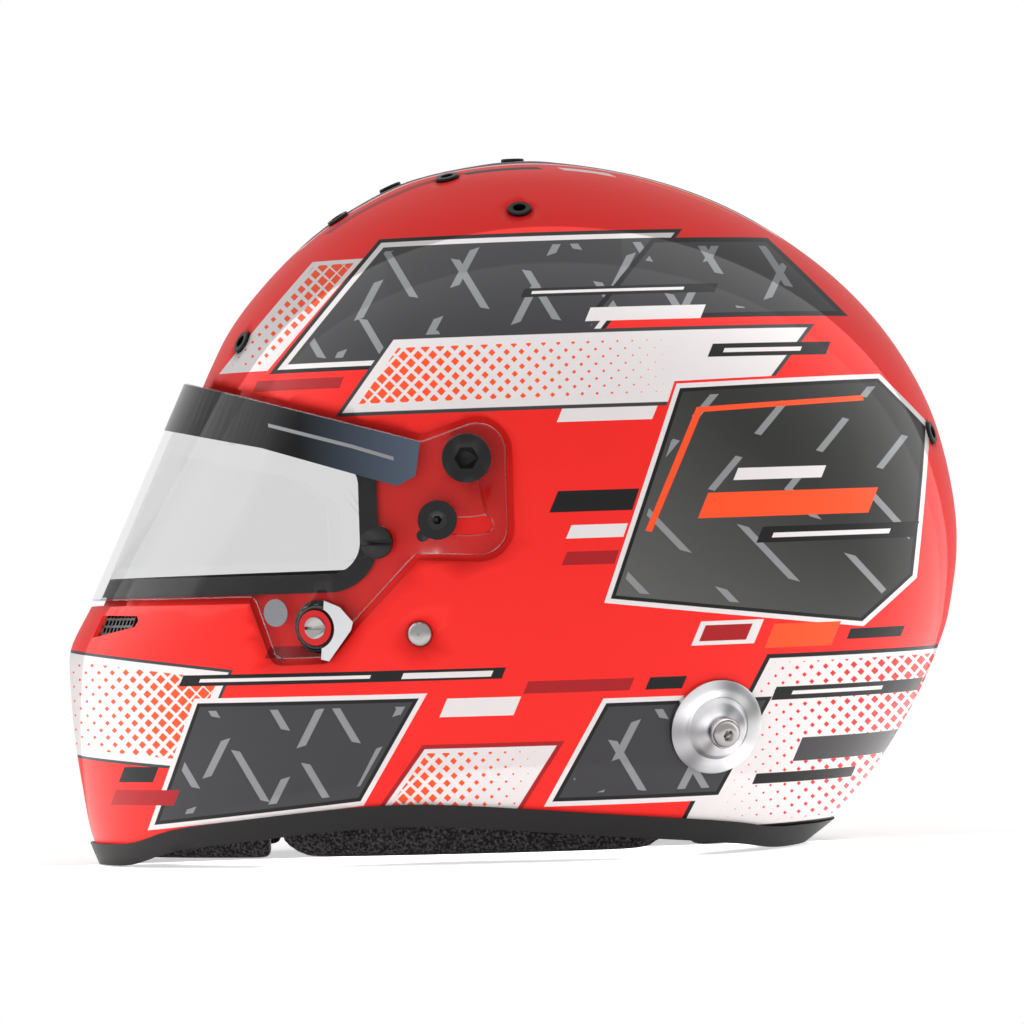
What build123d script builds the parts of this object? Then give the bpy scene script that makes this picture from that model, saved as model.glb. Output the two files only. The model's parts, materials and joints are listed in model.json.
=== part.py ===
from build123d import *
import math
import os

# Full-face auto racing helmet, resting on its bottom edge.
# The wearer faces -X, the wearer's left is -Y and +Z is up.
# The origin lies on the rest plane, below the middle of the helmet's length.

# Shell form: reaches from the widest station, height and half width
form_height = 270.2
widest_station = 20
front_reach = 195.8
rear_reach = 154.3
half_width = 127
mid_height = 120

# Level sections of the form: shares of height, station, front reach, rear reach and half width,
# then the exponents of the front and the rear half of the oval
form_shares = (
    (-0.0222, 1.0, 0.937, 0.551, 0.827, 1.80, 2.00),
    (0.0370, 1.0, 0.9640, 0.670, 0.862, 1.80, 2.00),
    (0.0962, 1.0, 0.9790, 0.7615, 0.894, 1.80, 2.00),
    (0.1628, 1.0, 0.9913, 0.8412, 0.929, 1.80, 2.00),
    (0.2295, 1.0, 0.9980, 0.9073, 0.957, 1.80, 2.02),
    (0.2813, 1.0, 1.0000, 0.9469, 0.972, 1.80, 2.04),
    (0.3109, 1.0, 0.9970, 0.9663, 0.980, 1.80, 2.05),
    (0.3405, 1.0, 0.9785, 0.9786, 0.987, 1.81, 2.06),
    (0.3923, 1.0, 0.9372, 0.9948, 0.996, 1.84, 2.08),
    (0.4626, 1.0, 0.8840, 0.9994, 1.000, 1.90, 2.10),
    (0.5366, 1.0, 0.8274, 0.9825, 0.998, 1.96, 2.12),
    (0.6107, 1.0, 0.7712, 0.9494, 0.984, 2.02, 2.12),
    (0.6847, 1.0, 0.7160, 0.8905, 0.945, 2.06, 2.12),
    (0.7587, 0.95, 0.6588, 0.8101, 0.872, 2.08, 2.10),
    (0.8216, 0.85, 0.5822, 0.7194, 0.772, 2.08, 2.08),
    (0.8734, 0.75, 0.5015, 0.6196, 0.661, 2.06, 2.06),
    (0.9141, 0.65, 0.4224, 0.5204, 0.555, 2.04, 2.04),
    (0.9474, 0.57, 0.3366, 0.4089, 0.441, 2.02, 2.02),
    (0.9715, 0.50, 0.2579, 0.2949, 0.331, 2.00, 2.00),
    (0.9882, 0.45, 0.1634, 0.1750, 0.201, 2.00, 2.00),
    (0.9974, 0.42, 0.0766, 0.0780, 0.0945, 2.00, 2.00),
    (1.0, 0.40, 0.0204, 0.0260, 0.0260, 2.00, 2.00),
)
oval_points = 7
bend_points = 9

# Walls and layers
shell_wall = 3
crown_foam = 34
comfort_pad = 8
layer_gap = 0.3
overrun = 30


def oval(level, station, front, rear, width, front_power, rear_power):
    """Closed level section: a superellipse whose front and rear halves differ."""
    points = []
    for step in range(4 * oval_points):
        turn = math.pi / 2 * step / oval_points
        along = math.cos(turn)
        across = math.sin(turn)
        reach, power = (front, front_power) if along < 0 else (rear, rear_power)
        x = station + math.copysign(reach * abs(along) ** (2 / power), along)
        y = math.copysign(width * abs(across) ** (2 / power), across)
        points.append((x, y, level))
    return Wire([Spline(*points, periodic=True).edge()])


def form(grow=0.0):
    """The shell's outer form, swollen by grow along its axes."""
    rise = (form_height - mid_height + grow) / (form_height - mid_height)
    sections = []
    for height, station, front, rear, width, front_power, rear_power in form_shares:
        level = height * form_height
        if level > mid_height:
            level = mid_height + (level - mid_height) * rise
        if level < 0:
            level += grow
        sections.append(oval(
            level,
            station * widest_station,
            front * (front_reach + grow),
            rear * (rear_reach + grow),
            width * (half_width + grow),
            front_power,
            rear_power,
        ))
    return Solid.make_loft(sections)


def solid_of(shape):
    """The largest solid of a result, where a cut leaves crumbs."""
    return max(shape.solids(), key=lambda item: item.volume)


def prism(outline, low=-half_width - overrun, high=half_width + overrun):
    """An outline drawn in X and Z, drawn out along Y from low to high."""
    return extrude(Plane.XZ.offset(-high) * outline, amount=high - low)


def rounded(corners, radii):
    """A closed outline with one radius for each corner."""
    return make_face(FilletPolyline(*corners, radius=radii, close=True))


def save(shape, name):
    export_step(shape, os.path.join("parts", name + ".step"))


os.makedirs("parts", exist_ok=True)

# Shield: level sections between its arms and its front line
shield_wall = 3
shield_half_width = 125
shield_arm_start = -15
shield_arm_back = 40
shield_front_low = -165.6
shield_front_low_height = 104.7
shield_front_high = -126.6
shield_front_high_height = 187.6
shield_power = 1.7
shield_low = 62
shield_high = 212
# Shares of the height between low and high, and of the half width there
shield_shares = (
    (0.0, 0.916), (0.173, 0.954), (0.253, 0.972), (0.32, 0.987),
    (0.373, 0.997), (0.427, 1.0), (1.0, 1.0),
)


front_fall = (shield_front_high - shield_front_low) / (shield_front_high_height - shield_front_low_height)


def shield_front(level):
    """Place of the shield's front line at a level."""
    return shield_front_low + front_fall * (level - shield_front_low_height)


def drop(x, level):
    """How far the shield's skin lies below its arm plane, ahead of where the arm starts."""
    along = (shield_arm_start - x) / (shield_arm_start - shield_front(level))
    return shield_half_width * (1 - (1 - along ** shield_power) ** (1 / shield_power))


def shield_form(grow=0.0):
    """Solid bounded by the shield's outer face, swollen by grow."""
    lean = math.sqrt(1 + front_fall ** 2)
    sections = []
    for height, width in shield_shares:
        level = shield_low + height * (shield_high - shield_low)
        level += grow * (1 - 2 * height) if height in (0, 1) else 0
        front = shield_front(level) - grow * lean
        half = width * shield_half_width + grow
        reach = shield_arm_start - front
        points = []
        for step in range(-bend_points, bend_points + 1):
            turn = math.pi / 2 * abs(step) / bend_points
            along = reach * math.cos(turn) ** (2 / shield_power)
            across = half * math.sin(turn) ** (2 / shield_power)
            points.append((shield_arm_start - along, math.copysign(across, -step), level))
        back = shield_arm_back - grow
        bend = Spline(*points)
        sections.append(Wire([
            bend.edge(),
            Edge.make_line((shield_arm_start, -half, level), (back, -half, level)),
            Edge.make_line((back, -half, level), (back, half, level)),
            Edge.make_line((back, half, level), (shield_arm_start, half, level)),
        ]))
    return Solid.make_loft(sections, ruled=True)


# Shield outline in side view, its left side with the lobe that carries the lock
shield_front_cut = -200
shield_top_slope = -0.2894
arm_top_x = -33.3
arm_top_z = 160.6
arm_peak_z = 171.2
arm_back_x = -1.4
arm_low_z = 115.9
arm_front_x = -36.5
arm_under_z = 118
lobe_back_x = -62.2
lobe_back_z = 91.8
lobe_step_x = -72.5
lobe_step_z = 79.6
lobe_front_x = -91.4
lobe_low_z = 79.3
lobe_rise_x = -99.4
shield_bottom_z = 103.2
arm_radius = 11
shield_corner = 3


def shield_outline(lobed):
    """Side view outline of the shield."""
    cut_top_z = arm_top_z + shield_top_slope * (shield_front_cut - arm_top_x)
    points = [
        (shield_front_cut, cut_top_z),
        (arm_top_x, arm_top_z),
        (arm_back_x, arm_peak_z),
        (arm_back_x, arm_low_z),
        (arm_front_x, arm_under_z),
    ]
    radii = [0, shield_corner, arm_radius, arm_radius, shield_corner]
    if lobed:
        points += [
            (lobe_back_x, lobe_back_z),
            (lobe_step_x, lobe_step_z),
            (lobe_front_x, lobe_low_z),
            (lobe_rise_x, shield_bottom_z),
        ]
        radii += [shield_corner] * 4
    else:
        slope = (arm_under_z - lobe_back_z) / (arm_front_x - lobe_back_x)
        points.append((arm_front_x - (arm_under_z - shield_bottom_z) / slope, shield_bottom_z))
        radii.append(shield_corner)
    points.append((shield_front_cut, shield_bottom_z))
    radii.append(0)
    return rounded(points, radii)


# Sunk field of the shell under the shield
field_gap = 2
field_margin = 2.2

# Eyeport
port_front_x = -190
port_back_x = -58
port_low_z = 111.4
port_high_z = 152.5
port_slope = -0.262
port_low_radius = 12
port_high_radius = 10


def port_outline(swell=0.0):
    """Side view outline of the eyeport, seen at the gasket's lip."""
    front_high = port_high_z + port_slope * (port_front_x - port_back_x)
    outline = rounded(
        [
            (port_front_x, port_low_z),
            (port_back_x, port_low_z),
            (port_back_x, port_high_z),
            (port_front_x, front_high),
        ],
        [0, port_low_radius, port_high_radius, 0],
    )
    return offset(outline, swell) if swell else outline


# Bottom edge: the arch in side view, as shares of the half length and of the arch's rise
half_length = 175.8
arch_rise = 14.4
arch_shares = (
    (-0.90, 0.0), (-0.80, 0.30), (-0.66, 0.60), (-0.48, 0.84), (-0.26, 1.0), (-0.05, 0.87),
    (0.17, 0.62), (0.38, 0.36), (0.50, 0.14), (0.59, 0.0),
)


def below(rise=0.0):
    """Everything under the arched bottom edge raised by rise."""
    points = [(x * half_length, z * arch_rise + rise) for x, z in arch_shares]
    ends = half_length + overrun
    arch = Spline(*points, tangents=((1, 0), (1, 0)))
    edges = [
        arch.edge(),
        Edge.make_line(points[-1], (ends, rise)),
        Edge.make_line((ends, rise), (ends, -overrun)),
        Edge.make_line((ends, -overrun), (-ends, -overrun)),
        Edge.make_line((-ends, -overrun), (-ends, rise)),
        Edge.make_line((-ends, rise), points[0]),
    ]
    return prism(make_face(edges))


# Rubber edge trim and eyeport gasket
trim_wall = 1.8
trim_height = 8.5
trim_seat = 2.5
gasket_flange = 7
gasket_lip = 1.6
gasket_wall = 1.5
gasket_play = 0.3

# Sections of the fit between the shell, the foam and the pads
trim_gap = 0.3
foam_bottom_front = 24
chin_foam_wall = 15.3
chin_pad_wall = 8
neck_roll_wall = 25
pad_floor = 3
pad_seam_gap = 0.3

# Side view limits of the foam and the pads
chin_seam_x = -97
chin_foam_top = 97.5
chin_pad_top = 90
chin_pad_step = 22
neck_seam_x = 62.3
neck_roll_top = 33
crown_foam_low = 38
crown_foam_back_x = 66
cheek_top = 100
cheek_roof_gap = 4
brow_setback = 8
lobe_depth = 60

# Cheek pads: corner rounding, how far the sides draw in, the crown and the sewn channels
cheek_corner = 16
cheek_draw = 3
cheek_draw_radius = 45
cheek_thickness = 38
cheek_crown_radius = 220
cheek_crown_x = -18
cheek_crown_z = 50
channel_radius = 2
channel_offset = 17

# Chin straps, hung from a rivet on each side
rivet_x = -36.4
rivet_z = 87.8
rivet_head_radius = 5
rivet_head_height = 2.4
rivet_shank_radius = 2.5
rivet_flare_radius = 3.8
rivet_flare_height = 1.1
washer_radius = 7
washer_height = 1.2
strap_width = 24
strap_thickness = 1.8
strap_gap = 0.3
slit_play = 1
head_seat = 0.3
seat_play = 0.1
strap_top = 9
strap_lead = -18
strap_turn_in = -31
strap_slit_level = -33
strap_hang = -58
strap_fold_gap = 7
strap_bottom = -86
strap_tail = -46
strap_bend = 6
strap_fold_radius = 3.4
loop_level = -46

# Double D-ring
ring_wire_radius = 2
ring_radius = 15
ring_play = 0.05
loop_wall = 1.4

# Shield pivots and arc slots
pivot_x = -16.5
pivot_z = 153.6
pivot_boss_radius = 5
pivot_shank_radius = 4
pivot_bore_radius = 2.1
pivot_cap_radius = 9.35
pivot_cap_height = 3.1
pivot_socket_across = 8
pivot_socket_depth = 2.2
pivot_nut_radius = 8
slot_radius = 25.8
slot_start = 243
slot_travel = 40
slot_boss_radius = 3
slot_shank_radius = 2.5
slot_bore_radius = 1.6
slot_nut_radius = 5.5
cam_radius = 7.45
cam_height = 1.6
cam_tab_length = 10.4
cam_tab_width = 4.6
cam_tab_turn = 225
screw_head_radius = 3.75
screw_head_height = 2.2
screw_socket_across = 3
screw_socket_depth = 1.2
running_play = 0.05
thread_play = 0.03
cap_play = 0.15
nut_height = 2
nut_play = 0.1
pocket_play = 1.2

# Tear-off posts
tearoff_x = -51.2
tearoff_z = 123
tearoff_head_radius = 6.2
tearoff_head_height = 2.4
tearoff_neck_radius = 4
tearoff_neck_height = 1.45
tearoff_offset = 0.8
tearoff_shaft_radius = 2.5
tearoff_flare_radius = 3.6
tearoff_flare_height = 1.3
tearoff_slot_width = 2
tearoff_slot_depth = 1.2

# Shield lock on the left lobe
lock_x = -75.8
lock_z = 91.3
lock_boss_radius = 8.1
lock_boss_proud = 0.4
lock_plate_radius = 10.2
lock_plate_wall = 0.9
lock_ring_radius = 6.75
lock_ring_proud = 1
lock_ring_height = 2.3
lock_pin_radius = 4.15
lock_pin_proud = 1.6
lock_floor = 0.6
lock_pin_gap = 0.3
lock_spring_wall = 0.35
lock_spring_rim = 0.2
lock_pin_slot_width = 1.2
lock_pin_slot_depth = 0.8
strike_radius = 7
strike_height = 1
strike_bore_radius = 4.7
strike_pocket_depth = 1.8
lift_wall = 1.5
skin_gap = 0.05
film_wall = 0.3
disc_x = -91
disc_z = 97.3
disc_radius = 5.25
pane_gap = 0.6
pane_wall = 1

# Lift tab: a crescent at the lobe's rear lower edge, outside the lock
lift_corners = (
    (-72.4, 101.5), (-66.4, 98.8), (-61.6, 93.0), (-62.4, 90.0), (-71.2, 78.4), (-74.2, 79.2),
)

# Sun strip and inner pane, in side view
strip_corners = (
    (-33.8, 160.3), (-35.9, 147.5), (-43, 143.9), (-99.1, 161.6), (-136.3, 169.5), (-200, 183),
    (-200, 208.3),
)
pane_corners = ((-200, 115.5), (-70, 115.5), (-70, 138), (-84, 148.5), (-200, 175))

# Tether anchors
anchor_x = 74.5
anchor_z = 49
anchor_base_radius = 18.5
anchor_rim_height = 1
anchor_bevel = 0.6
anchor_dish_radius = 13
anchor_dish_height = 3
anchor_groove_radius = 12.5
anchor_groove_depth = 0.4
anchor_cone_radius = 12
anchor_cone_height = 3.2
anchor_flat_radius = 9.5
anchor_hub_height = 6
anchor_neck_radius = 4
anchor_neck_height = 2
anchor_head_radius = 6
anchor_head_height = 2.2
anchor_head_bevel = 0.5
anchor_bore_radius = 3.05
anchor_screw_radius = 3
anchor_button_radius = 5.25
anchor_button_height = 2.6
anchor_socket_across = 4
anchor_socket_depth = 1.6
anchor_nut_radius = 11
anchor_nut_wall = 1.5
anchor_nut_drop = 0.7
anchor_barrel_radius = 4.5
anchor_barrel_height = 3.3

# Vent grommets: places seen from above, and the rear pair seen from behind
top_vents = ((-43.5, 0), (4.7, 0))
side_vents = ((-64, -17), (-20.8, -31), (-102.1, -45), (6.7, -68))
rear_vent_y = -37
rear_vent_z = 158
grommet_radius = 4.5
grommet_bore_radius = 2.5
grommet_sleeve_radius = 3.3
grommet_proud = 1.2
vent_channel_radius = 4
channel_reach = 60

# Chin vents
chin_vent_corners = ((-172, 98), (-146.1, 97.3), (-145.6, 95.5), (-147.2, 93.1), (-172, 87.5))
chin_vent_inner_y = 30
chin_vent_seat_z = 94
mesh_wall = 0.8
mesh_sunk = 1.6
mesh_pitch = 3
mesh_hole = 2.1
mesh_columns = 13
mesh_rows = 4

# Press studs between the shell and the cheek pads
stud_places = ((-68, 50), (5, 60), (42, 40))
stud_radius = 5
stud_gap = 0.15
stud_height = 1.1


def seat(body, start, way):
    """Plane on the body's outermost skin along a line, facing out, with its x axis level."""
    line = Axis(start, way)
    hits = []
    for face in body.faces():
        for point, _ in face.find_intersection_points(line):
            hits.append(((point - Vector(start)).dot(Vector(way)), face, point))
    _, face, point = max(hits, key=lambda hit: hit[0])
    normal = face.normal_at(point)
    if normal.dot(Vector(way)) < 0:
        normal = -normal
    level = Vector(0, 0, 1).cross(normal)
    if level.length < 0.2:
        level = Vector(0, 1, 0).cross(normal)
    return Plane(origin=point, x_dir=level, z_dir=normal)


def left_seat(body, x, z):
    return seat(body, (x, 0, z), (0, -1, 0))


def disc(plane, radius, low, high):
    """Cylinder on a plane's axis between two heights above it."""
    return extrude(plane.offset(low) * Circle(radius), amount=high - low)


def turned(plane, profile):
    """Solid turned about a plane's axis from a profile of radius and height."""
    section = Plane(origin=plane.origin, x_dir=plane.x_dir, z_dir=-plane.y_dir)
    return revolve(section * make_face(Polyline(*profile, close=True)), Axis(plane.origin, plane.z_dir))


def socket(plane, across, top, depth):
    """Hexagon socket cut down from the height top."""
    hexagon = RegularPolygon(across / 2, 6, major_radius=False)
    return extrude(plane.offset(top) * hexagon, amount=-depth)


def arm_plane(x, z):
    """Plane on the left arm's flat outer face."""
    return Plane(origin=(x, -shield_half_width, z), x_dir=(1, 0, 0), z_dir=(0, -1, 0))


# Heights above the shield's outer face: its inner face, and the field's floor and back
shield_back = -shield_wall
field_floor = shield_back - field_gap
field_back = field_floor - shell_wall

outer_form = form()
inner_form = form(-shell_wall)
foam_form = form(-shell_wall - layer_gap)
pad_form = form(-shell_wall - trim_wall - trim_gap)
shield_outer = shield_form()

pivot = arm_plane(pivot_x, pivot_z)
slot_turn = math.radians(slot_start)
slot_x = pivot_x + slot_radius * math.cos(slot_turn)
slot_z = pivot_z + slot_radius * math.sin(slot_turn)
slot = arm_plane(slot_x, slot_z)

# Spot faces of the bushes and of their nuts, where the curved field lies lowest under each
pivot_floor = field_floor - drop(pivot_x - pivot_boss_radius, pivot_z)
pivot_back = field_back - drop(pivot_x - pivot_nut_radius, pivot_z)
slot_floor = field_floor - drop(slot_x - slot_boss_radius, slot_z)
slot_back = field_back - drop(slot_x - slot_nut_radius, slot_z)

tearoff = left_seat(shield_outer, tearoff_x, tearoff_z)
lock = left_seat(shield_outer, lock_x, lock_z)
foil = left_seat(shield_outer, disc_x, disc_z)
rivet = left_seat(outer_form, rivet_x, rivet_z)
anchor = left_seat(outer_form, anchor_x, anchor_z)
studs = [left_seat(outer_form, x, z) for x, z in stud_places]
middle_vents = [seat(outer_form, (x, y, 0), (0, 0, 1)) for x, y in top_vents]
paired_vents = [seat(outer_form, (x, y, 0), (0, 0, 1)) for x, y in side_vents]
paired_vents.append(seat(outer_form, (0, rear_vent_y, rear_vent_z), (1, 0, 0)))
chin_vent_x = (chin_vent_corners[1][0] + chin_vent_corners[0][0]) / 2
chin_vent = left_seat(outer_form, chin_vent_x, chin_vent_seat_z)


def both(parts):
    """Each solid and its mirror image, as one list."""
    return parts + [mirror(part, about=Plane.XZ) for part in parts]


def sides(swell):
    """Field under the shield: plain through both sides, with the lobe on the left."""
    plain = prism(offset(shield_outline(False), swell))
    return plain + prism(offset(shield_outline(True), swell), high=-lobe_depth)


def make_shell():
    port = prism(port_outline(gasket_lip))
    wall = outer_form - inner_form
    wall = wall - port
    wall = wall - below(trim_seat)
    backing = sides(field_margin + shell_wall) & inner_form
    backing = backing - shield_form(field_back)
    backing = backing - port
    wall = wall + backing
    wall = wall - (sides(field_margin) - shield_form(field_floor))
    holes = both([
        disc(pivot, pivot_shank_radius + nut_play, field_back * 2, 0),
        disc(slot, slot_shank_radius + nut_play, field_back * 2, 0),
        disc(pivot, pivot_boss_radius + seat_play, pivot_floor, 0),
        disc(slot, slot_boss_radius + seat_play, slot_floor, 0),
        disc(rivet, rivet_shank_radius + seat_play, -2 * shell_wall, shell_wall),
        disc(rivet, rivet_head_radius + seat_play, -head_seat - seat_play, shell_wall),
        disc(anchor, anchor_screw_radius + seat_play, -2 * shell_wall, shell_wall),
        prism(make_face(Polyline(*chin_vent_corners, close=True)), high=-chin_vent_inner_y),
    ])
    holes.append(disc(lock, strike_radius + seat_play, field_floor - strike_height - skin_gap, shield_back))
    holes.append(disc(lock, strike_bore_radius, field_floor - strike_pocket_depth, shield_back))
    for place in middle_vents:
        holes += vent_hole(place)
    holes += both([hole for place in paired_vents for hole in vent_hole(place)])
    return solid_of(wall - holes)


def vent_hole(place):
    return [
        disc(place, grommet_sleeve_radius + seat_play, -2 * shell_wall, shell_wall),
        disc(place, grommet_radius + seat_play, -head_seat - seat_play, shell_wall),
    ]


def make_trim():
    """U section of rubber round the bottom edge."""
    band = below(trim_height) - below()
    ring = (band & form(trim_wall)) - form(-shell_wall - trim_wall)
    edge = ((below(2 * trim_height) - below(trim_seat)) & outer_form) - inner_form
    return solid_of(ring - edge)


def make_gasket(shell):
    """Rubber round the eyeport: a flange on the shell and a lip through the opening."""
    ring = prism(port_outline(gasket_flange)) - prism(port_outline())
    ring = ring & form(gasket_wall)
    ring = ring & shield_form(shield_back - gasket_play)
    ring = ring - form(-shell_wall - gasket_lip)
    return solid_of(ring - shell)


def make_grommets():
    def ring(place):
        body = disc(place, grommet_radius, -head_seat, grommet_proud)
        body += disc(place, grommet_sleeve_radius, -shell_wall, -head_seat)
        body -= disc(place, grommet_bore_radius, -2 * shell_wall, 2 * grommet_proud)
        return chamfer(body.edges().group_by(SortBy.LENGTH)[-1], length=head_seat)

    rings = [ring(place) for place in middle_vents]
    rings += both([ring(place) for place in paired_vents])
    return Compound(children=[solid_of(item) for item in rings])


def make_vent_mesh():
    """Flat perforated plate set a little into the chin vent."""
    reach = mesh_columns * mesh_pitch
    rise = mesh_rows * mesh_pitch * 2
    plate = extrude(chin_vent.offset(-mesh_sunk) * Rectangle(reach, rise), amount=-mesh_wall)
    outline = offset(make_face(Polyline(*chin_vent_corners, close=True)), -seat_play)
    opening = prism(outline, high=-chin_vent_inner_y - seat_play)
    grid = GridLocations(mesh_pitch, mesh_pitch, mesh_columns, mesh_rows)
    cutters = [chin_vent.offset(-mesh_sunk) * place * Rectangle(mesh_hole, mesh_hole) for place in grid]
    plate = plate - [extrude(cutter, amount=mesh_wall, both=True) for cutter in cutters]
    return solid_of(plate & opening)


def make_anchor():
    """Washer, post, screw and inner nut of one tether anchor."""
    sunk = -shell_wall
    bevel = anchor_base_radius - anchor_bevel
    washer = turned(anchor, [
        (anchor_bore_radius, sunk), (anchor_base_radius, sunk),
        (anchor_base_radius, anchor_rim_height), (bevel, anchor_rim_height + anchor_bevel),
        (anchor_dish_radius, anchor_dish_height),
        (anchor_groove_radius, anchor_dish_height - anchor_groove_depth),
        (anchor_cone_radius, anchor_cone_height), (anchor_flat_radius, anchor_hub_height),
        (anchor_bore_radius, anchor_hub_height),
    ]) - form(skin_gap)
    neck_top = anchor_hub_height + anchor_neck_height
    head_top = neck_top + anchor_head_height
    post = turned(anchor, [
        (anchor_bore_radius, anchor_hub_height), (anchor_neck_radius, anchor_hub_height),
        (anchor_neck_radius, neck_top), (anchor_head_radius - anchor_head_bevel, neck_top),
        (anchor_head_radius, neck_top + anchor_head_bevel),
        (anchor_head_radius, head_top - anchor_head_bevel),
        (anchor_head_radius - anchor_head_bevel, head_top), (anchor_bore_radius, head_top),
    ])
    nut_back = -shell_wall - anchor_nut_drop - anchor_nut_wall
    screw_end = nut_back - anchor_barrel_height
    button = head_top + anchor_button_height
    screw = disc(anchor, anchor_screw_radius, screw_end, head_top)
    screw += turned(anchor, [
        (0, head_top), (anchor_button_radius, head_top),
        (anchor_button_radius, head_top + anchor_head_bevel),
        (anchor_button_radius * 0.75, button - anchor_head_bevel), (anchor_button_radius / 2, button),
        (0, button),
    ])
    screw -= socket(anchor, anchor_socket_across, button, anchor_socket_depth)
    nut = disc(anchor, anchor_nut_radius, nut_back, nut_back + anchor_nut_wall)
    nut += disc(anchor, anchor_barrel_radius, screw_end, nut_back)
    nut -= disc(anchor, anchor_screw_radius + thread_play, 2 * screw_end, 0)
    return washer, post, screw, nut


def make_rivet():
    head = turned(rivet, [
        (0, -head_seat), (rivet_head_radius, -head_seat), (rivet_head_radius, 0),
        (rivet_head_radius * 0.85, rivet_head_height / 2), (rivet_head_radius / 2, rivet_head_height * 0.9),
        (0, rivet_head_height),
    ])
    strap_back = -shell_wall - strap_gap - strap_thickness
    back = strap_back - strap_gap - washer_height
    end = back - rivet_flare_height
    head += disc(rivet, rivet_shank_radius, end, -head_seat)
    head += disc(rivet, rivet_flare_radius, end, back)
    ring = disc(rivet, washer_radius, back, back + washer_height)
    ring -= disc(rivet, rivet_shank_radius + thread_play, 2 * back, 0)
    return head, ring


# Strap plane: x runs up along the shell, y out of it, and the strap's width runs along its axis
strap_plane = Plane(origin=rivet.origin, x_dir=rivet.y_dir, z_dir=rivet.x_dir)
strap_depth = -shell_wall - strap_gap - strap_thickness / 2


def strap_route(hang, bottom, folded):
    """Centre line of a strap: down inside the shell, in through the pad and down again."""
    route = [
        (strap_top, strap_depth),
        (strap_lead, strap_depth - strap_gap),
        (strap_turn_in, 3 * strap_depth),
        (strap_slit_level, hang),
        (bottom, hang),
    ]
    radii = [strap_bend] * 3
    if folded:
        route += [(bottom, hang - strap_fold_gap), (strap_tail, hang - strap_fold_gap)]
        radii += [strap_fold_radius] * 2
    return FilletPolyline(*route, radius=radii)


def strap_solid(route, thickness, width):
    face = strap_plane * trace(route, thickness)
    return extrude(face, amount=width / 2, both=True)


def strap_hole():
    """Room for the rivet through the strap."""
    return disc(rivet, rivet_shank_radius + seat_play, -overrun, 0)


def make_strap_left():
    route = strap_route(strap_hang, strap_bottom, True)
    return solid_of(strap_solid(route, strap_thickness, strap_width) - strap_hole())


ring_pitch = 2 * (ring_wire_radius + ring_play) + loop_wall / 2
loop_height = 2 * (ring_wire_radius + ring_play + loop_wall)


def ring_centre(index):
    """Place of a D-ring's straight bar in the strap plane, 0 outer and 1 inner."""
    return loop_level, strap_hang + ring_pitch * (0.5 - index)


def make_strap_right():
    route = strap_route(strap_hang, loop_level, False)
    strap = strap_solid(route, strap_thickness, strap_width)
    loop = Pos(loop_level, strap_hang) * RectangleRounded(
        loop_height, loop_height + ring_pitch, loop_height / 2 - seat_play)
    strap += extrude(strap_plane * loop, amount=strap_width / 2, both=True)
    for index in (0, 1):
        bore = Pos(*ring_centre(index)) * Circle(ring_wire_radius + ring_play)
        strap -= extrude(strap_plane * bore, amount=strap_width, both=True)
    return solid_of(mirror(solid_of(strap - strap_hole()), about=Plane.XZ))


def make_ring(index):
    """D-ring: a straight bar in the strap's loop and a half round bow hanging from it."""
    level, depth = ring_centre(index)
    centre = strap_plane.from_local_coords(Vector(level, depth, 0))
    along = strap_plane.z_dir
    bow_plane = Plane(origin=centre, x_dir=along, z_dir=along.cross(Vector(0, 0, 1)))
    bow = bow_plane * Torus(ring_radius, ring_wire_radius)
    size = ring_radius + overrun
    upper = Plane(origin=centre, x_dir=along, z_dir=(0, 0, 1))
    bow -= extrude(upper * Circle(size), amount=size)
    bar = Plane(origin=centre, z_dir=along)
    ring = bow + extrude(bar * Circle(ring_wire_radius), amount=ring_radius, both=True)
    for end in (-ring_radius, ring_radius):
        ring += Pos(*(centre + strap_plane.z_dir * end)) * Sphere(ring_wire_radius)
    return solid_of(mirror(solid_of(ring), about=Plane.XZ))


def backing_room(lobed, play):
    """Room on the left for the wall behind the field, with its lobe or without."""
    tool = prism(offset(shield_outline(lobed), field_margin + shell_wall + play), high=-lobe_depth)
    return tool - shield_form(field_back - play)


def field_backing(play):
    return sides(field_margin + shell_wall + play) - shield_form(field_back - play)


def make_cheek_pad(left):
    """Crowned pad whose sides draw in, with two sewn channels and the strap's slit."""
    front = chin_seam_x + pad_seam_gap
    back = neck_seam_x - pad_seam_gap
    middle_x = (front + back) / 2
    middle_z = (pad_floor + cheek_top) / 2
    outline = rounded(
        [
            (front, pad_floor), (back, pad_floor),
            (back - cheek_draw, middle_z), (back, cheek_top),
            (middle_x, cheek_top - cheek_draw), (front, cheek_top),
            (front + cheek_draw, middle_z),
        ],
        [cheek_corner, cheek_corner, cheek_draw_radius, cheek_corner,
         cheek_draw_radius, cheek_corner, cheek_draw_radius],
    )
    crown = left_seat(outer_form, cheek_crown_x, cheek_crown_z)
    heart = crown.offset(cheek_crown_radius - cheek_thickness)
    pad = (prism(outline, high=-overrun) & pad_form) & Pos(*heart.origin) * Sphere(cheek_crown_radius)
    cutters = []
    for side in (-1, 1):
        across = math.sqrt(cheek_crown_radius ** 2 - channel_offset ** 2)
        place = Pos(*(heart.origin + Vector(0, 0, side * channel_offset)))
        cutters.append(place * Torus(across, channel_radius))
    slit = trace(strap_route(strap_hang, strap_bottom, False), strap_thickness + slit_play)
    cutters.append(extrude(strap_plane * slit, amount=strap_width / 2 + slit_play, both=True))
    cutters.append(disc(rivet, washer_radius + slit_play, -overrun / 2, 0))
    cutters.append(backing_room(left, layer_gap))
    pad = solid_of(pad - cutters)
    return pad if left else solid_of(mirror(pad, about=Plane.XZ))


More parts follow.
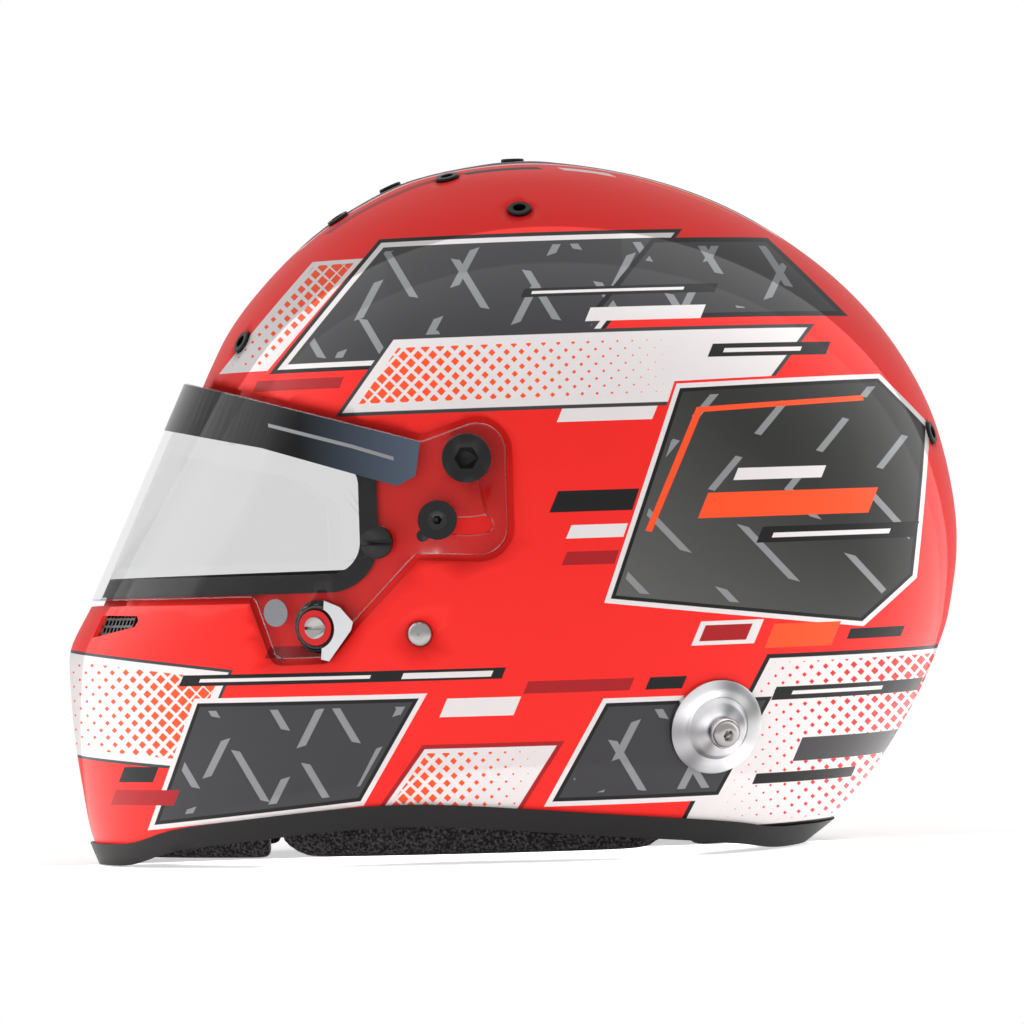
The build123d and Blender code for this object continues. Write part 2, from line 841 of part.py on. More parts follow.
def make_crown_layers():
    """Foam and its fabric liner, cut away for the face, the cheek pads and the neck."""
    slope_top = port_high_z + brow_setback + port_slope * (port_front_x - port_back_x)
    brow_x = port_back_x + brow_setback
    ends = half_length + overrun
    roof = cheek_top + cheek_roof_gap
    removed = make_face(Polyline(
        (-ends, -overrun), (ends, -overrun), (ends, crown_foam_low),
        (crown_foam_back_x, crown_foam_low), (crown_foam_back_x, roof), (brow_x, roof),
        (brow_x, port_high_z + brow_setback), (port_front_x, slope_top), (-ends, slope_top),
        close=True,
    ))
    away = prism(removed)
    foam = foam_form - field_backing(layer_gap)
    foam = foam - away
    foam = foam - form(-shell_wall - layer_gap - crown_foam)
    pockets = both([
        disc(pivot, pivot_nut_radius + pocket_play, 2 * field_back, 0),
        disc(slot, slot_nut_radius + pocket_play, 2 * field_back, 0),
        disc(anchor, anchor_nut_radius + pocket_play, -3 * shell_wall - pocket_play, 0),
    ] + [disc(place, vent_channel_radius, -channel_reach, 0) for place in paired_vents])
    pockets += [disc(place, vent_channel_radius, -channel_reach, 0) for place in middle_vents]
    foam = solid_of(foam - pockets)
    depth = shell_wall + 2 * layer_gap + crown_foam
    liner = form(-depth) - away
    liner = solid_of(liner - form(-depth - comfort_pad))
    return foam, liner


def make_chin_foam():
    block = make_face(Polyline(
        (-half_length - overrun, foam_bottom_front), (chin_seam_x, foam_bottom_front),
        (chin_seam_x, chin_foam_top), (-half_length - overrun, chin_foam_top), close=True))
    foam = (prism(block) & foam_form) - form(-shell_wall - layer_gap - chin_foam_wall)
    return solid_of(foam - backing_room(True, layer_gap))


def make_chin_pad():
    def slab(low, high):
        return prism(make_face(Polyline(
            (-half_length - overrun, low), (chin_seam_x, low),
            (chin_seam_x, high), (-half_length - overrun, high), close=True)))

    front = shell_wall + 2 * layer_gap + chin_foam_wall
    pad = (slab(pad_floor, chin_pad_step) & pad_form) + (slab(pad_floor, chin_pad_top) & form(-front))
    return solid_of(pad - form(-front - chin_pad_wall))


def make_neck_roll():
    block = make_face(Polyline(
        (neck_seam_x, pad_floor), (half_length + overrun, pad_floor),
        (half_length + overrun, neck_roll_top), (neck_seam_x, neck_roll_top), close=True))
    roll = prism(block) & pad_form
    return solid_of(roll - form(-shell_wall - neck_roll_wall))


def make_pivot():
    """Bush, inner nut and cap of one shield pivot."""
    end = pivot_back - nut_play - nut_height
    bush = disc(pivot, pivot_boss_radius, pivot_floor, cap_play)
    bush += disc(pivot, pivot_shank_radius, end, pivot_floor)
    bush -= disc(pivot, pivot_bore_radius + thread_play, 2 * end, cap_play)
    nut = disc(pivot, pivot_nut_radius, end, end + nut_height)
    nut -= disc(pivot, pivot_shank_radius + thread_play, 2 * end, 0)
    top = cap_play + pivot_cap_height
    cap = disc(pivot, pivot_cap_radius, cap_play, top)
    cap = chamfer(cap.edges().sort_by(Axis.Y)[0], length=head_seat)
    cap += disc(pivot, pivot_bore_radius, end / 2, cap_play)
    cap -= socket(pivot, pivot_socket_across, top, pivot_socket_depth)
    return bush, nut, cap


def make_slot_stop():
    """Bush, inner nut, eccentric washer and screw of one arc slot."""
    end = slot_back - nut_play - nut_height
    bush = disc(slot, slot_boss_radius, slot_floor, cap_play)
    bush += disc(slot, slot_shank_radius, end, slot_floor)
    bush -= disc(slot, slot_bore_radius + thread_play, 2 * end, cap_play)
    nut = disc(slot, slot_nut_radius, end, end + nut_height)
    nut -= disc(slot, slot_shank_radius + thread_play, 2 * end, 0)
    top = cap_play + cam_height
    tab = Rot(0, 0, cam_tab_turn) * Pos(cam_tab_length / 2, 0) * SlotOverall(cam_tab_length, cam_tab_width)
    outline = Circle(cam_radius) + tab
    cam = extrude(slot.offset(cap_play) * outline, amount=cam_height)
    cam -= disc(slot, slot_bore_radius + thread_play, 0, 2 * top)
    screw = disc(slot, screw_head_radius, top, top + screw_head_height)
    screw += disc(slot, slot_bore_radius, end / 2, top)
    screw -= socket(slot, screw_socket_across, top + screw_head_height, screw_socket_depth)
    return bush, nut, cam, screw


def make_shield():
    body = (shield_outer - shield_form(shield_back)) & sides_of_shield()
    slot_arc = CenterArc((pivot_x, pivot_z), slot_radius, slot_start, slot_travel)
    slot_width = 2 * (slot_boss_radius + running_play)
    arm_low = -half_width - overrun
    arm_high = shield_back - shield_half_width + 2 * overrun
    cutters = both([
        disc(pivot, pivot_boss_radius + running_play, 2 * shield_back, -shield_back),
        prism(SlotArc(slot_arc, slot_width), low=arm_low, high=arm_high),
        tearoff_shaft(running_play),
    ])
    cutters.append(disc(lock, lock_boss_radius + seat_play, 2 * shield_back, -shield_back))
    return solid_of(body - cutters)


def sides_of_shield():
    plain = prism(shield_outline(False))
    return plain + prism(shield_outline(True), high=-lobe_depth)


def tearoff_shaft(play):
    """Shaft and inner flare of a tear-off post, also used to cut its hole."""
    tip = shield_back + (running_play if play == 0 else -shield_wall)
    flare = tearoff_flare_radius + play
    shaft = tearoff_shaft_radius + play
    top = cap_play if play == 0 else shield_wall
    return turned(tearoff, [
        (0, tip), (flare, tip), (flare, shield_back + running_play),
        (shaft, shield_back + tearoff_flare_height), (shaft, top), (0, top),
    ] if play else [
        (0, tip), (flare, tip), (shaft, shield_back + tearoff_flare_height), (shaft, top), (0, top),
    ])


def make_tearoff():
    """Turning post with an eccentric head and a screwdriver slot."""
    head_low = cap_play + tearoff_neck_height
    head_top = head_low + tearoff_head_height
    shifted = Plane(tearoff.location * Pos(tearoff_offset, 0, 0))
    post = tearoff_shaft(0)
    post += disc(shifted, tearoff_neck_radius, cap_play, head_low)
    head = disc(shifted, tearoff_head_radius, head_low, head_top)
    post += head
    groove = extrude(
        shifted.offset(head_top) * Rectangle(3 * tearoff_head_radius, tearoff_slot_width),
        amount=-tearoff_slot_depth)
    return solid_of(post - groove)


def make_lock():
    """Housing, ring, pin, spring and strike of the push lock."""
    plate_top = shield_back - skin_gap
    plate = (shield_form(plate_top) - shield_form(plate_top - lock_plate_wall))
    plate = plate & disc(lock, lock_plate_radius, field_floor, 0)
    floor_low = plate_top - lock_plate_wall
    floor_top = floor_low + lock_floor
    housing = plate + disc(lock, lock_boss_radius, floor_low, lock_boss_proud)
    housing -= disc(lock, lock_ring_radius + running_play, floor_top, 2 * lock_ring_proud)
    housing -= disc(lock, lock_pin_radius + running_play, 2 * floor_low, 0)
    ring_low = lock_ring_proud - lock_ring_height
    ring = disc(lock, lock_ring_radius, ring_low, lock_ring_proud)
    ring -= disc(lock, lock_pin_radius, 2 * ring_low, 2 * lock_ring_proud)
    pin = disc(lock, lock_pin_radius, field_floor + lock_pin_gap, lock_pin_proud)
    pin -= extrude(
        lock.offset(lock_pin_proud) * Rectangle(3 * lock_pin_radius, lock_pin_slot_width),
        amount=-lock_pin_slot_depth)
    spring = disc(lock, lock_ring_radius - lock_spring_rim, ring_low - lock_spring_wall, ring_low)
    spring -= disc(lock, lock_pin_radius + lock_spring_rim, 2 * ring_low, 0)
    strike_low = field_floor - strike_height
    strike = disc(lock, strike_radius, strike_low, field_floor)
    strike -= disc(lock, strike_bore_radius, 2 * strike_low, 0)
    return solid_of(housing), ring, solid_of(pin), spring, strike


def make_lift():
    layer = shield_form(skin_gap + lift_wall) - shield_form(skin_gap)
    tab = layer & prism(make_face(Polyline(*lift_corners, close=True)), high=-lobe_depth)
    return solid_of(tab - disc(lock, lock_boss_radius + seat_play, field_floor, overrun))


def make_film(outline):
    layer = shield_form(skin_gap + film_wall) - shield_form(skin_gap)
    return solid_of(layer & outline)


def make_pane():
    layer = shield_form(shield_back - pane_gap) - shield_form(shield_back - pane_gap - pane_wall)
    return solid_of(layer & prism(make_face(Polyline(*pane_corners, close=True))))


def make_studs():
    """Press studs that carry the cheek pads."""
    top = -shell_wall - stud_gap
    return [disc(place, stud_radius, top - stud_height, top) for place in studs]


def group(parts):
    return Compound(children=[solid_of(part) for part in both(list(parts))])


shell = make_shell()
save(shell, "shell")
save(make_trim(), "edge_trim")
save(make_gasket(shell), "eyeport_gasket")
save(make_grommets(), "vent_grommets")
mesh = make_vent_mesh()
save(mesh, "chin_vent_mesh_left")
save(mirror(mesh, about=Plane.XZ), "chin_vent_mesh_right")

washer, post, screw, nut = make_anchor()
save(group([washer]), "anchor_washers")
save(group([post]), "anchor_posts")
save(group([screw]), "anchor_screws")
save(group([nut]), "anchor_nuts")

rivet_body, rivet_washer = make_rivet()
save(group([rivet_body]), "strap_rivets")
save(group([rivet_washer]), "strap_rivet_washers")
save(make_strap_left(), "chin_strap_left")
save(make_strap_right(), "chin_strap_right")
save(make_ring(0), "d_ring_outer")
save(make_ring(1), "d_ring_inner")

crown_liner, comfort_liner = make_crown_layers()
save(crown_liner, "crown_liner")
save(comfort_liner, "comfort_liner")
save(make_cheek_pad(True), "cheek_pad_left")
save(make_cheek_pad(False), "cheek_pad_right")
save(make_chin_foam(), "chin_bar_foam")
save(make_chin_pad(), "chin_bar_pad")
save(make_neck_roll(), "neck_roll")
save(group(make_studs()), "pad_snaps")

bush, nut, cap = make_pivot()
save(group([bush]), "pivot_bushes")
save(group([nut]), "pivot_nuts")
save(group([cap]), "pivot_caps")
bush, nut, cam, screw = make_slot_stop()
save(group([bush]), "slot_bushes")
save(group([nut]), "slot_nuts")
save(group([cam]), "cam_washers")
save(group([screw]), "slot_screws")

save(make_shield(), "visor_shield")
save(make_pane(), "visor_inner_pane")
save(make_film(prism(make_face(Polyline(*strip_corners, close=True)))), "visor_top_strip")
save(make_film(disc(foil, disc_radius, field_floor, overrun)), "foil_disc")
save(make_lift(), "lift_lever")
housing, ring, pin, spring, strike = make_lock()
save(housing, "lock_housing")
save(ring, "lock_ring")
save(pin, "lock_pin")
save(spring, "lock_spring")
save(strike, "lock_strike")
tear = make_tearoff()
save(tear, "tearoff_post_left")
save(mirror(tear, about=Plane.XZ), "tearoff_post_right")
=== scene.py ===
# %% [markdown]
# # Auto racing helmet: the look of a full-face helmet with a clear hinged shield
# The helmet's solids come from its CAD model at their real size, in metres. This script gives
# each one its finish, puts rounded soft pieces in the place of the plain ones, and stands the
# helmet in a white studio, seen from its left side. The wearer looks along -x, and z is up.

# %% Load the helmet's solids
import json
import math

import bmesh
import bpy
import numpy as np
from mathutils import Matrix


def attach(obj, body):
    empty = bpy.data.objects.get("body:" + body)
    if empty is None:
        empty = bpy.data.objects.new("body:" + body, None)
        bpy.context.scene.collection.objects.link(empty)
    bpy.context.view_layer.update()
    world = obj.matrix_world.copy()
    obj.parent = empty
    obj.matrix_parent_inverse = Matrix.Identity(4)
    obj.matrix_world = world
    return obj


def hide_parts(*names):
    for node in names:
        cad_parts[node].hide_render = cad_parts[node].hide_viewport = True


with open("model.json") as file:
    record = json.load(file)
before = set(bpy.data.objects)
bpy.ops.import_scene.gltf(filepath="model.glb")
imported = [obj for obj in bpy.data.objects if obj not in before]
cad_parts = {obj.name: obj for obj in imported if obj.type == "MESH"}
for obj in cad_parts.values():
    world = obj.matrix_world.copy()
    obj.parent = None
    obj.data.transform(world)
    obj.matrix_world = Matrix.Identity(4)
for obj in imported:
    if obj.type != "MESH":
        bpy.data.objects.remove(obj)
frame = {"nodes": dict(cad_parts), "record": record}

nodes = frame["nodes"]
print(f"{len(nodes)} CAD nodes")
body_of_node = {node: body for body, members in frame["record"]["behaviour"]["bodies"].items()
                for node in members}
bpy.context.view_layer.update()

# %% [markdown]
# ## Colours
# Paint and plastic are judged on a screen, so a colour is written as screen values from 0 to 255.
# The renderer adds light up in linear values, which could be typed directly but can't be read by
# eye. A small function turns one into the other.

# %% Screen colours as linear light
def linear(red, green, blue):
    """Linear colour of a screen colour: ((s + 0.055) / 1.055) ** 2.4 above the toe."""
    screen = np.array([red, green, blue]) / 255.0
    light = np.where(screen > 0.04045, ((screen + 0.055) / 1.055) ** 2.4, screen / 12.92)
    return tuple(float(value) for value in light) + (1.0,)


RED = linear(246, 38, 32)
DEEP_RED = linear(168, 22, 28)
ORANGE = linear(255, 84, 38)
WHITE = linear(232, 226, 226)
CHARCOAL = linear(58, 58, 60)
STEEL_GREY = linear(140, 141, 143)
BLACK = linear(14, 14, 15)
print(f"The shell's red in linear light: {[round(value, 3) for value in RED[:3]]}")

# %% [markdown]
# ## Plain finishes
# Rubber, moulded plastic, steel and foam have one even colour each. Pictures could be wrapped
# round the pieces, but one Principled shader with the right roughness says as much. A fine noise
# on Object coordinates, read as a height, gives the grain that breaks up the highlights.

# %% Plain finishes
GRAIN_DEPTH = 0.0005
GRAIN_DETAIL = 3.0


def raised(tree, height, strength, depth):
    """Tilt the normals as a relief of the given height pattern, depth metres deep, would."""
    bump = tree.nodes.new("ShaderNodeBump")
    bump.inputs["Strength"].default_value = strength
    bump.inputs["Distance"].default_value = depth
    tree.links.new(height, bump.inputs["Height"])
    tree.links.new(bump.outputs["Normal"], tree.nodes["Principled BSDF"].inputs["Normal"])


def shader(name, color, rough=0.5, metal=0.0, grain=0.0, scale=900.0, **more):
    """Principled material; grain is the strength of a fine noise bump on Object coordinates."""
    made = bpy.data.materials.new(name)
    made.use_nodes = True
    tree = made.node_tree
    main = tree.nodes["Principled BSDF"]
    main.inputs["Base Color"].default_value = color
    main.inputs["Roughness"].default_value = rough
    main.inputs["Metallic"].default_value = metal
    for key, value in more.items():
        main.inputs[key.replace("_", " ")].default_value = value
    if grain:
        place = tree.nodes.new("ShaderNodeTexCoord")
        noise = tree.nodes.new("ShaderNodeTexNoise")
        noise.inputs["Scale"].default_value = scale
        noise.inputs["Detail"].default_value = GRAIN_DETAIL
        tree.links.new(place.outputs["Object"], noise.inputs["Vector"])
        raised(tree, noise.outputs["Fac"], grain, GRAIN_DEPTH)
    return made


rubber = shader("Black rubber", linear(30, 29, 29), 0.62, grain=0.15, scale=1500,
                Specular_IOR_Level=0.2)
plastic = shader("Black moulded plastic", linear(18, 18, 19), 0.42, grain=0.1, scale=2500,
                 Specular_IOR_Level=0.25)
gloss = shader("Black gloss plastic", linear(8, 8, 9), 0.14, Specular_IOR_Level=0.35)
steel = shader("Satin steel", linear(146, 145, 143), 0.3, 1.0, grain=0.05, scale=3000)
dark_steel = shader("Blackened steel", linear(52, 52, 53), 0.25, 0.9)
red_metal = shader("Red anodised metal", linear(196, 24, 26), 0.3, 0.5)
lever_metal = shader("Light metal", linear(196, 197, 199), 0.34, 0.6, grain=0.08, scale=1800)
foil = shader("Grey foil", linear(128, 130, 134), 0.3, 0.7, grain=0.4, scale=1200)
foam = shader("Dark bead foam", linear(34, 34, 36), 0.85, grain=0.8, scale=260)
composite = shader("Dark shell inside", linear(30, 30, 32), 0.6, grain=0.3, scale=500)
plain = (rubber, plastic, gloss, steel, dark_steel, red_metal, lever_metal, foil, foam, composite)
print(f"{len(plain)} plain finishes: {', '.join(finish.name for finish in plain)}")

# %% [markdown]
# ## Sums in a shader
# The paint's pattern could be a picture, but then it would blur from near by and need a map round
# the shell. Here it is worked out at each point by maths nodes. Wiring those by hand hides what
# they say, so a small class makes one node for each sum and lets a pattern read like a formula.

# %% Sums in a shader
class Sums:
    """Maths nodes of one tree; a number is set on its socket, an output is linked to it."""

    def __init__(self, tree):
        self.tree = tree

    def sum(self, operation, first, second=None, third=None, clamp=False):
        node = self.tree.nodes.new("ShaderNodeMath")
        node.operation = operation
        node.use_clamp = clamp
        for index, value in enumerate((first, second, third)):
            if value is None:
                continue
            if isinstance(value, (int, float)):
                node.inputs[index].default_value = value
            else:
                self.tree.links.new(value, node.inputs[index])
        return node.outputs["Value"]

    def vector(self, operation, first, fixed=None, result="Vector"):
        """One sum of a linked vector and a fixed one."""
        node = self.tree.nodes.new("ShaderNodeVectorMath")
        node.operation = operation
        self.tree.links.new(first, node.inputs[0])
        if fixed is not None:
            node.inputs[1].default_value = fixed
        return node.outputs[result]

    def apart(self, vector):
        node = self.tree.nodes.new("ShaderNodeSeparateXYZ")
        self.tree.links.new(vector, node.inputs[0])
        return [node.outputs[axis] for axis in "XYZ"]

    def together(self, parts):
        node = self.tree.nodes.new("ShaderNodeCombineXYZ")
        for index, value in enumerate(parts):
            self.tree.links.new(value, node.inputs[index])
        return node.outputs["Vector"]

    def both(self, first, second):
        """1 where the first and the second are 1."""
        return self.sum("MULTIPLY", first, second)

    def layer(self, under, over, mask):
        """Colour over where the mask is 1, and under where it is 0."""
        node = self.tree.nodes.new("ShaderNodeMix")
        node.data_type = "RGBA"
        self.tree.links.new(mask, node.inputs[0])
        for index, value in ((6, under), (7, over)):
            if isinstance(value, tuple):
                node.inputs[index].default_value = value
            else:
                self.tree.links.new(value, node.inputs[index])
        return node.outputs[2]


# %% [markdown]
# ## Places on the helmet
# A paint line on a helmet is laid out in millimetres, so the patterns are too: x runs back along
# the helmet, y is the distance from its middle plane, so that both sides match, and z runs up.
# A panel's outline is convex, because then the distance inside it is the least of the distances
# to its sides, which takes a few nodes and gives an edge of any width.

# %% Places on the helmet
MILLIMETRES = 1000.0
PAINT_EDGE = 0.16
BAND_EDGE = 0.2


class Places(Sums):
    """The shaded point's x, y and z, and shapes measured from them."""

    def __init__(self, tree):
        super().__init__(tree)
        place = tree.nodes.new("ShaderNodeTexCoord")
        scaled = tree.nodes.new("ShaderNodeVectorMath")
        scaled.operation = "SCALE"
        scaled.inputs["Scale"].default_value = MILLIMETRES
        tree.links.new(place.outputs["Object"], scaled.inputs[0])
        self.x, self.side, self.z = self.apart(scaled.outputs["Vector"])
        self.y = self.sum("ABSOLUTE", self.side)
        self.point = self.together((self.x, self.y, self.z))

    def plane(self, nx, ny, nz, depth):
        """Signed distance nx x + ny y + nz z - depth."""
        return self.sum("SUBTRACT", self.vector("DOT_PRODUCT", self.point, (nx, ny, nz), "Value"),
                        depth)

    def polygon(self, corners, top=False):
        """Distance inside a convex outline in side view (x, z), or in top view (x, y)."""
        points = np.array(corners, float)
        ahead = np.roll(points, -1, axis=0)
        area = np.sum(points[:, 0] * ahead[:, 1] - ahead[:, 0] * points[:, 1])
        along = (ahead - points) * np.sign(area)
        normals = np.stack([-along[:, 1], along[:, 0]], axis=1)
        normals /= np.linalg.norm(normals, axis=1, keepdims=True)
        depths = np.sum(normals * points, axis=1)
        inside = None
        for (na, nb), depth in zip(normals.tolist(), depths.tolist()):
            edge = self.plane(na, nb, 0.0, depth) if top else self.plane(na, 0.0, nb, depth)
            inside = edge if inside is None else self.sum("MINIMUM", inside, edge)
        return inside

    def mask(self, distance, grow=0.0):
        """1 where a distance is above -grow, with an edge PAINT_EDGE millimetres wide."""
        return self.sum("MULTIPLY_ADD", distance, 1 / PAINT_EDGE, grow / PAINT_EDGE + 0.5, clamp=True)

    def bands(self, value, pitch, share):
        """1 on bands that take up share of every pitch, with an edge BAND_EDGE wide."""
        turn = self.sum("FRACT", self.sum("DIVIDE", value, pitch))
        off = self.sum("ABSOLUTE", self.sum("SUBTRACT", turn, 0.5))
        return self.sum("MULTIPLY_ADD", off, -pitch / BAND_EDGE,
                        share * pitch / (2 * BAND_EDGE) + 0.5, clamp=True)


print(f"Paint edges are {PAINT_EDGE} mm wide")

# %% [markdown]
# ## Painted shell
# A racing helmet's shell is sprayed in layers: a ground colour, then masked panels with thin
# edgings, and thin marks and dotted fades on top. The paint scheme here is a generic one, and
# is laid on in the same order. Each panel's edging is its own outline, grown by 1 to 4 mm.

# %% Tools of the paint scheme
BAR_LEAN = 0.45
PATTERN_INSET = 1.6
DOT_CELL = 5.6
DOT_SHARE = 0.62
DOT_SHARPNESS = 24.0
CHEVRON_HEIGHT = 138.0
DASHES = {"lean": 0.55, "pitch": 24.0, "share": 0.13, "gap_lean": 0.2, "gap_pitch": 29.0,
          "gap_share": 0.6}
CROSSING = {"lean": -0.55, "pitch": 31.0, "share": 0.1, "gap_lean": -0.3, "gap_pitch": 22.0,
            "gap_share": 0.55}
CHEVRONS = {"lean": -0.9, "pitch": 30.0, "share": 0.11, "gap_lean": 0.3, "gap_pitch": 26.0,
            "gap_share": 0.6}
FADE_LEAN = 0.9
FADE_START = 235.0
FADE_LENGTH = 130.0


class Livery(Places):
    """Paint laid on in layers, each over the last."""

    def __init__(self, tree, ground):
        super().__init__(tree)
        self.paint = ground
        self.dashes = self.strokes(self.z, **DASHES)
        self.marks = self.sum("MAXIMUM", self.dashes, self.strokes(self.z, **CROSSING))
        bend = self.sum("ABSOLUTE", self.sum("SUBTRACT", self.z, CHEVRON_HEIGHT))
        self.chevrons = self.strokes(bend, **CHEVRONS)
        down = self.sum("MULTIPLY_ADD", self.z, FADE_LEAN, self.x)
        self.grey_fade = self.layer(
            linear(44, 44, 43), linear(100, 100, 99),
            self.sum("MULTIPLY_ADD", down, -1 / FADE_LENGTH, FADE_START / FADE_LENGTH, clamp=True))

    def strokes(self, along, lean, pitch, share, gap_lean, gap_pitch, gap_share):
        """Thin bands of x + lean * along, kept only on the wide bands of z + gap_lean * x."""
        run = self.sum("MULTIPLY_ADD", along, lean, self.x)
        rise = self.sum("MULTIPLY_ADD", self.x, gap_lean, self.z)
        return self.both(self.bands(run, pitch, share), self.bands(rise, gap_pitch, gap_share))

    def dots(self, start, end):
        """Square dots on a turned grid, shrinking from one x to another."""
        size = self.sum("MULTIPLY_ADD", self.sum("DIVIDE", self.sum("SUBTRACT", self.x, start),
                                                 end - start), -DOT_SHARE, DOT_SHARE)
        u = self.sum("FRACT", self.sum("DIVIDE", self.sum("ADD", self.x, self.z), DOT_CELL))
        v = self.sum("FRACT", self.sum("DIVIDE", self.sum("SUBTRACT", self.x, self.z), DOT_CELL))
        far = self.sum("MAXIMUM", self.sum("ABSOLUTE", self.sum("SUBTRACT", u, 0.5)),
                       self.sum("ABSOLUTE", self.sum("SUBTRACT", v, 0.5)))
        gap = self.sum("SUBTRACT", self.sum("MULTIPLY", size, DOT_SHARE), far)
        return self.sum("MULTIPLY_ADD", gap, DOT_SHARPNESS, 0.5, clamp=True)

    def lay(self, fill, mask):
        self.paint = self.layer(self.paint, fill, mask)

    def panel(self, corners, fill, edges=(), pattern=None, ink=None):
        """Edging layers, widest first, then the panel's fill and its pattern."""
        shape = self.polygon(corners)
        for width, edge in edges:
            self.lay(edge, self.mask(shape, width))
        self.lay(fill, self.mask(shape))
        if pattern is not None:
            self.lay(ink, self.both(self.mask(shape, -PATTERN_INSET), pattern))

    def bars(self, *rows):
        """Level bars with slanted ends; each row is x, z, length, height and fill."""
        for x, z, length, height, fill in rows:
            shift = height * BAR_LEAN
            self.lay(fill, self.mask(self.polygon(
                [(x, z), (x + length, z), (x + length + shift, z + height), (x + shift, z + height)])))


paint = bpy.data.materials.new("Satin painted shell")
paint.use_nodes = True
livery = Livery(paint.node_tree, RED)
print(f"{paint.name}: {len(paint.node_tree.nodes)} nodes for its patterns")

# %% [markdown]
# The upper band runs round the shell above the eyeport. A band's outlines are tables of corner
# points in side view, because a designer places them one by one.

# %% Upper band
livery.panel([(-112, 190), (-92, 190), (-54, 232), (-74, 232)], WHITE,
             pattern=livery.dots(-70.0, -112.0), ink=ORANGE)
livery.panel([(-84, 192), (26, 192), (62, 236), (-46, 236)], CHARCOAL,
             [(3.4, BLACK), (1.9, WHITE)], livery.marks, STEEL_GREY)
livery.panel([(34, 206), (128, 206), (102, 234), (58, 234)], CHARCOAL,
             [(1.9, BLACK)], livery.marks, STEEL_GREY)
livery.panel([(-60, 174), (92, 174), (112, 198), (-42, 198)], WHITE,
             [(3.0, CHARCOAL), (1.6, WHITE)], livery.dots(-50.0, 70.0), ORANGE)
livery.bars((6, 214, 74, 3.4, BLACK), (10, 215.2, 58, 1.1, WHITE), (30, 204, 44, 5.2, WHITE),
            (76, 189, 46, 5.0, BLACK), (82, 190.6, 30, 1.6, WHITE), (-98, 182, 34, 4.2, DEEP_RED),
            (18, 166, 36, 5.0, WHITE), (60, 166, 22, 5.0, DEEP_RED), (88, 167, 12, 4.0, BLACK))
print(f"{len(paint.node_tree.nodes)} nodes with the upper band")

# %% [markdown]
# The rear panel is the largest plain field. Its grey runs from dark at the top to light at the
# bottom, which the flat charcoal of the other panels doesn't.

# %% Rear panel
livery.bars((14, 132, 44, 8.0, BLACK), (20, 122, 22, 5.0, WHITE), (18, 112, 30, 5.0, DEEP_RED))
livery.panel([(38, 100), (132, 88), (152, 104), (160, 160), (142, 178), (66, 176)],
             livery.grey_fade, [(4.2, RED), (3.2, WHITE), (1.4, BLACK)], livery.chevrons,
             STEEL_GREY)
for line in ([(71, 168), (136, 171), (136, 173), (71, 170)],
             [(50, 124), (52.4, 123.4), (73.2, 168.6), (71, 170)]):
    livery.lay(ORANGE, livery.mask(livery.polygon(line)))
livery.bars((70, 128, 66, 9.5, ORANGE), (92, 118, 62, 6.0, BLACK), (98, 119.8, 46, 1.8, WHITE),
            (84, 142, 34, 4.5, WHITE), (66, 80, 24, 9.0, WHITE), (69, 81.5, 18, 6.0, DEEP_RED),
            (94, 78, 26, 9.0, ORANGE), (126, 80, 22, 4.0, BLACK))
print(f"{len(paint.node_tree.nodes)} nodes with the rear panel")

# %% [markdown]
# The lower band runs from the chin bar to the nape, above the rubber trim.

# %% Lower band
livery.panel([(-190, 46), (-128, 40), (-112, 74), (-190, 84)], WHITE,
             [(2.4, CHARCOAL), (1.2, WHITE)], livery.dots(-128.0, -190.0), ORANGE)
livery.panel([(-140, 18), (-62, 26), (-40, 62), (-122, 62)], CHARCOAL,
             [(3.2, WHITE), (1.4, BLACK)], livery.marks, STEEL_GREY)
livery.panel([(-54, 20), (-6, 14), (14, 44), (-36, 44)], WHITE,
             [(1.6, DEEP_RED)], livery.dots(-46.0, 10.0), ORANGE)
livery.panel([(60, 10), (150, 10), (176, 74), (96, 74)], WHITE,
             [(1.6, BLACK)], livery.dots(160.0, 70.0), RED)
livery.panel([(14, 24), (74, 24), (94, 58), (34, 58)], CHARCOAL,
             [(3.2, WHITE), (1.4, BLACK)], livery.marks, STEEL_GREY)
livery.bars((-130, 70, 124, 4.2, BLACK), (-122, 71.4, 66, 1.3, WHITE), (-44, 70.9, 34, 2.2, WHITE),
            (-96, 80, 22, 4.4, DEEP_RED), (-30, 56, 28, 7.0, WHITE), (2, 64, 40, 4.6, DEEP_RED),
            (48, 64, 14, 4.6, BLACK), (96, 58, 60, 5.0, BLACK), (104, 59.8, 36, 1.4, WHITE),
            (104, 34, 44, 9.0, CHARCOAL), (88, 26, 40, 4.0, BLACK), (-160, 24, 26, 6.0, DEEP_RED),
            (-156, 33, 14, 6.0, BLACK))
print(f"{len(paint.node_tree.nodes)} nodes with the lower band")

# %% [markdown]
# A stripe runs along the middle of the crown, from the brow to the back of the head, with short
# bars beside it. Its outlines are in top view, and are kept off the shell's sides by a height.
# The paint is satin: a rough surface with little mirror, as the photograph shows no sharp lights.

# %% Crown stripe and satin coat
STRIPE_HEIGHT = 214.0
STRIPE_EDGES = ((7.0, WHITE), (4.6, RED), (3.2, BLACK), (0.0, CHARCOAL))
STRIPE_BARS = ((-70, 26, 44, 5, DEEP_RED), (-16, 26, 30, 5, BLACK), (22, 26, 20, 5, WHITE),
               (50, 24, 40, 4, ORANGE))
STRIPE_INSET = 2.5
STRIPE_BAR_SHIFT = 3

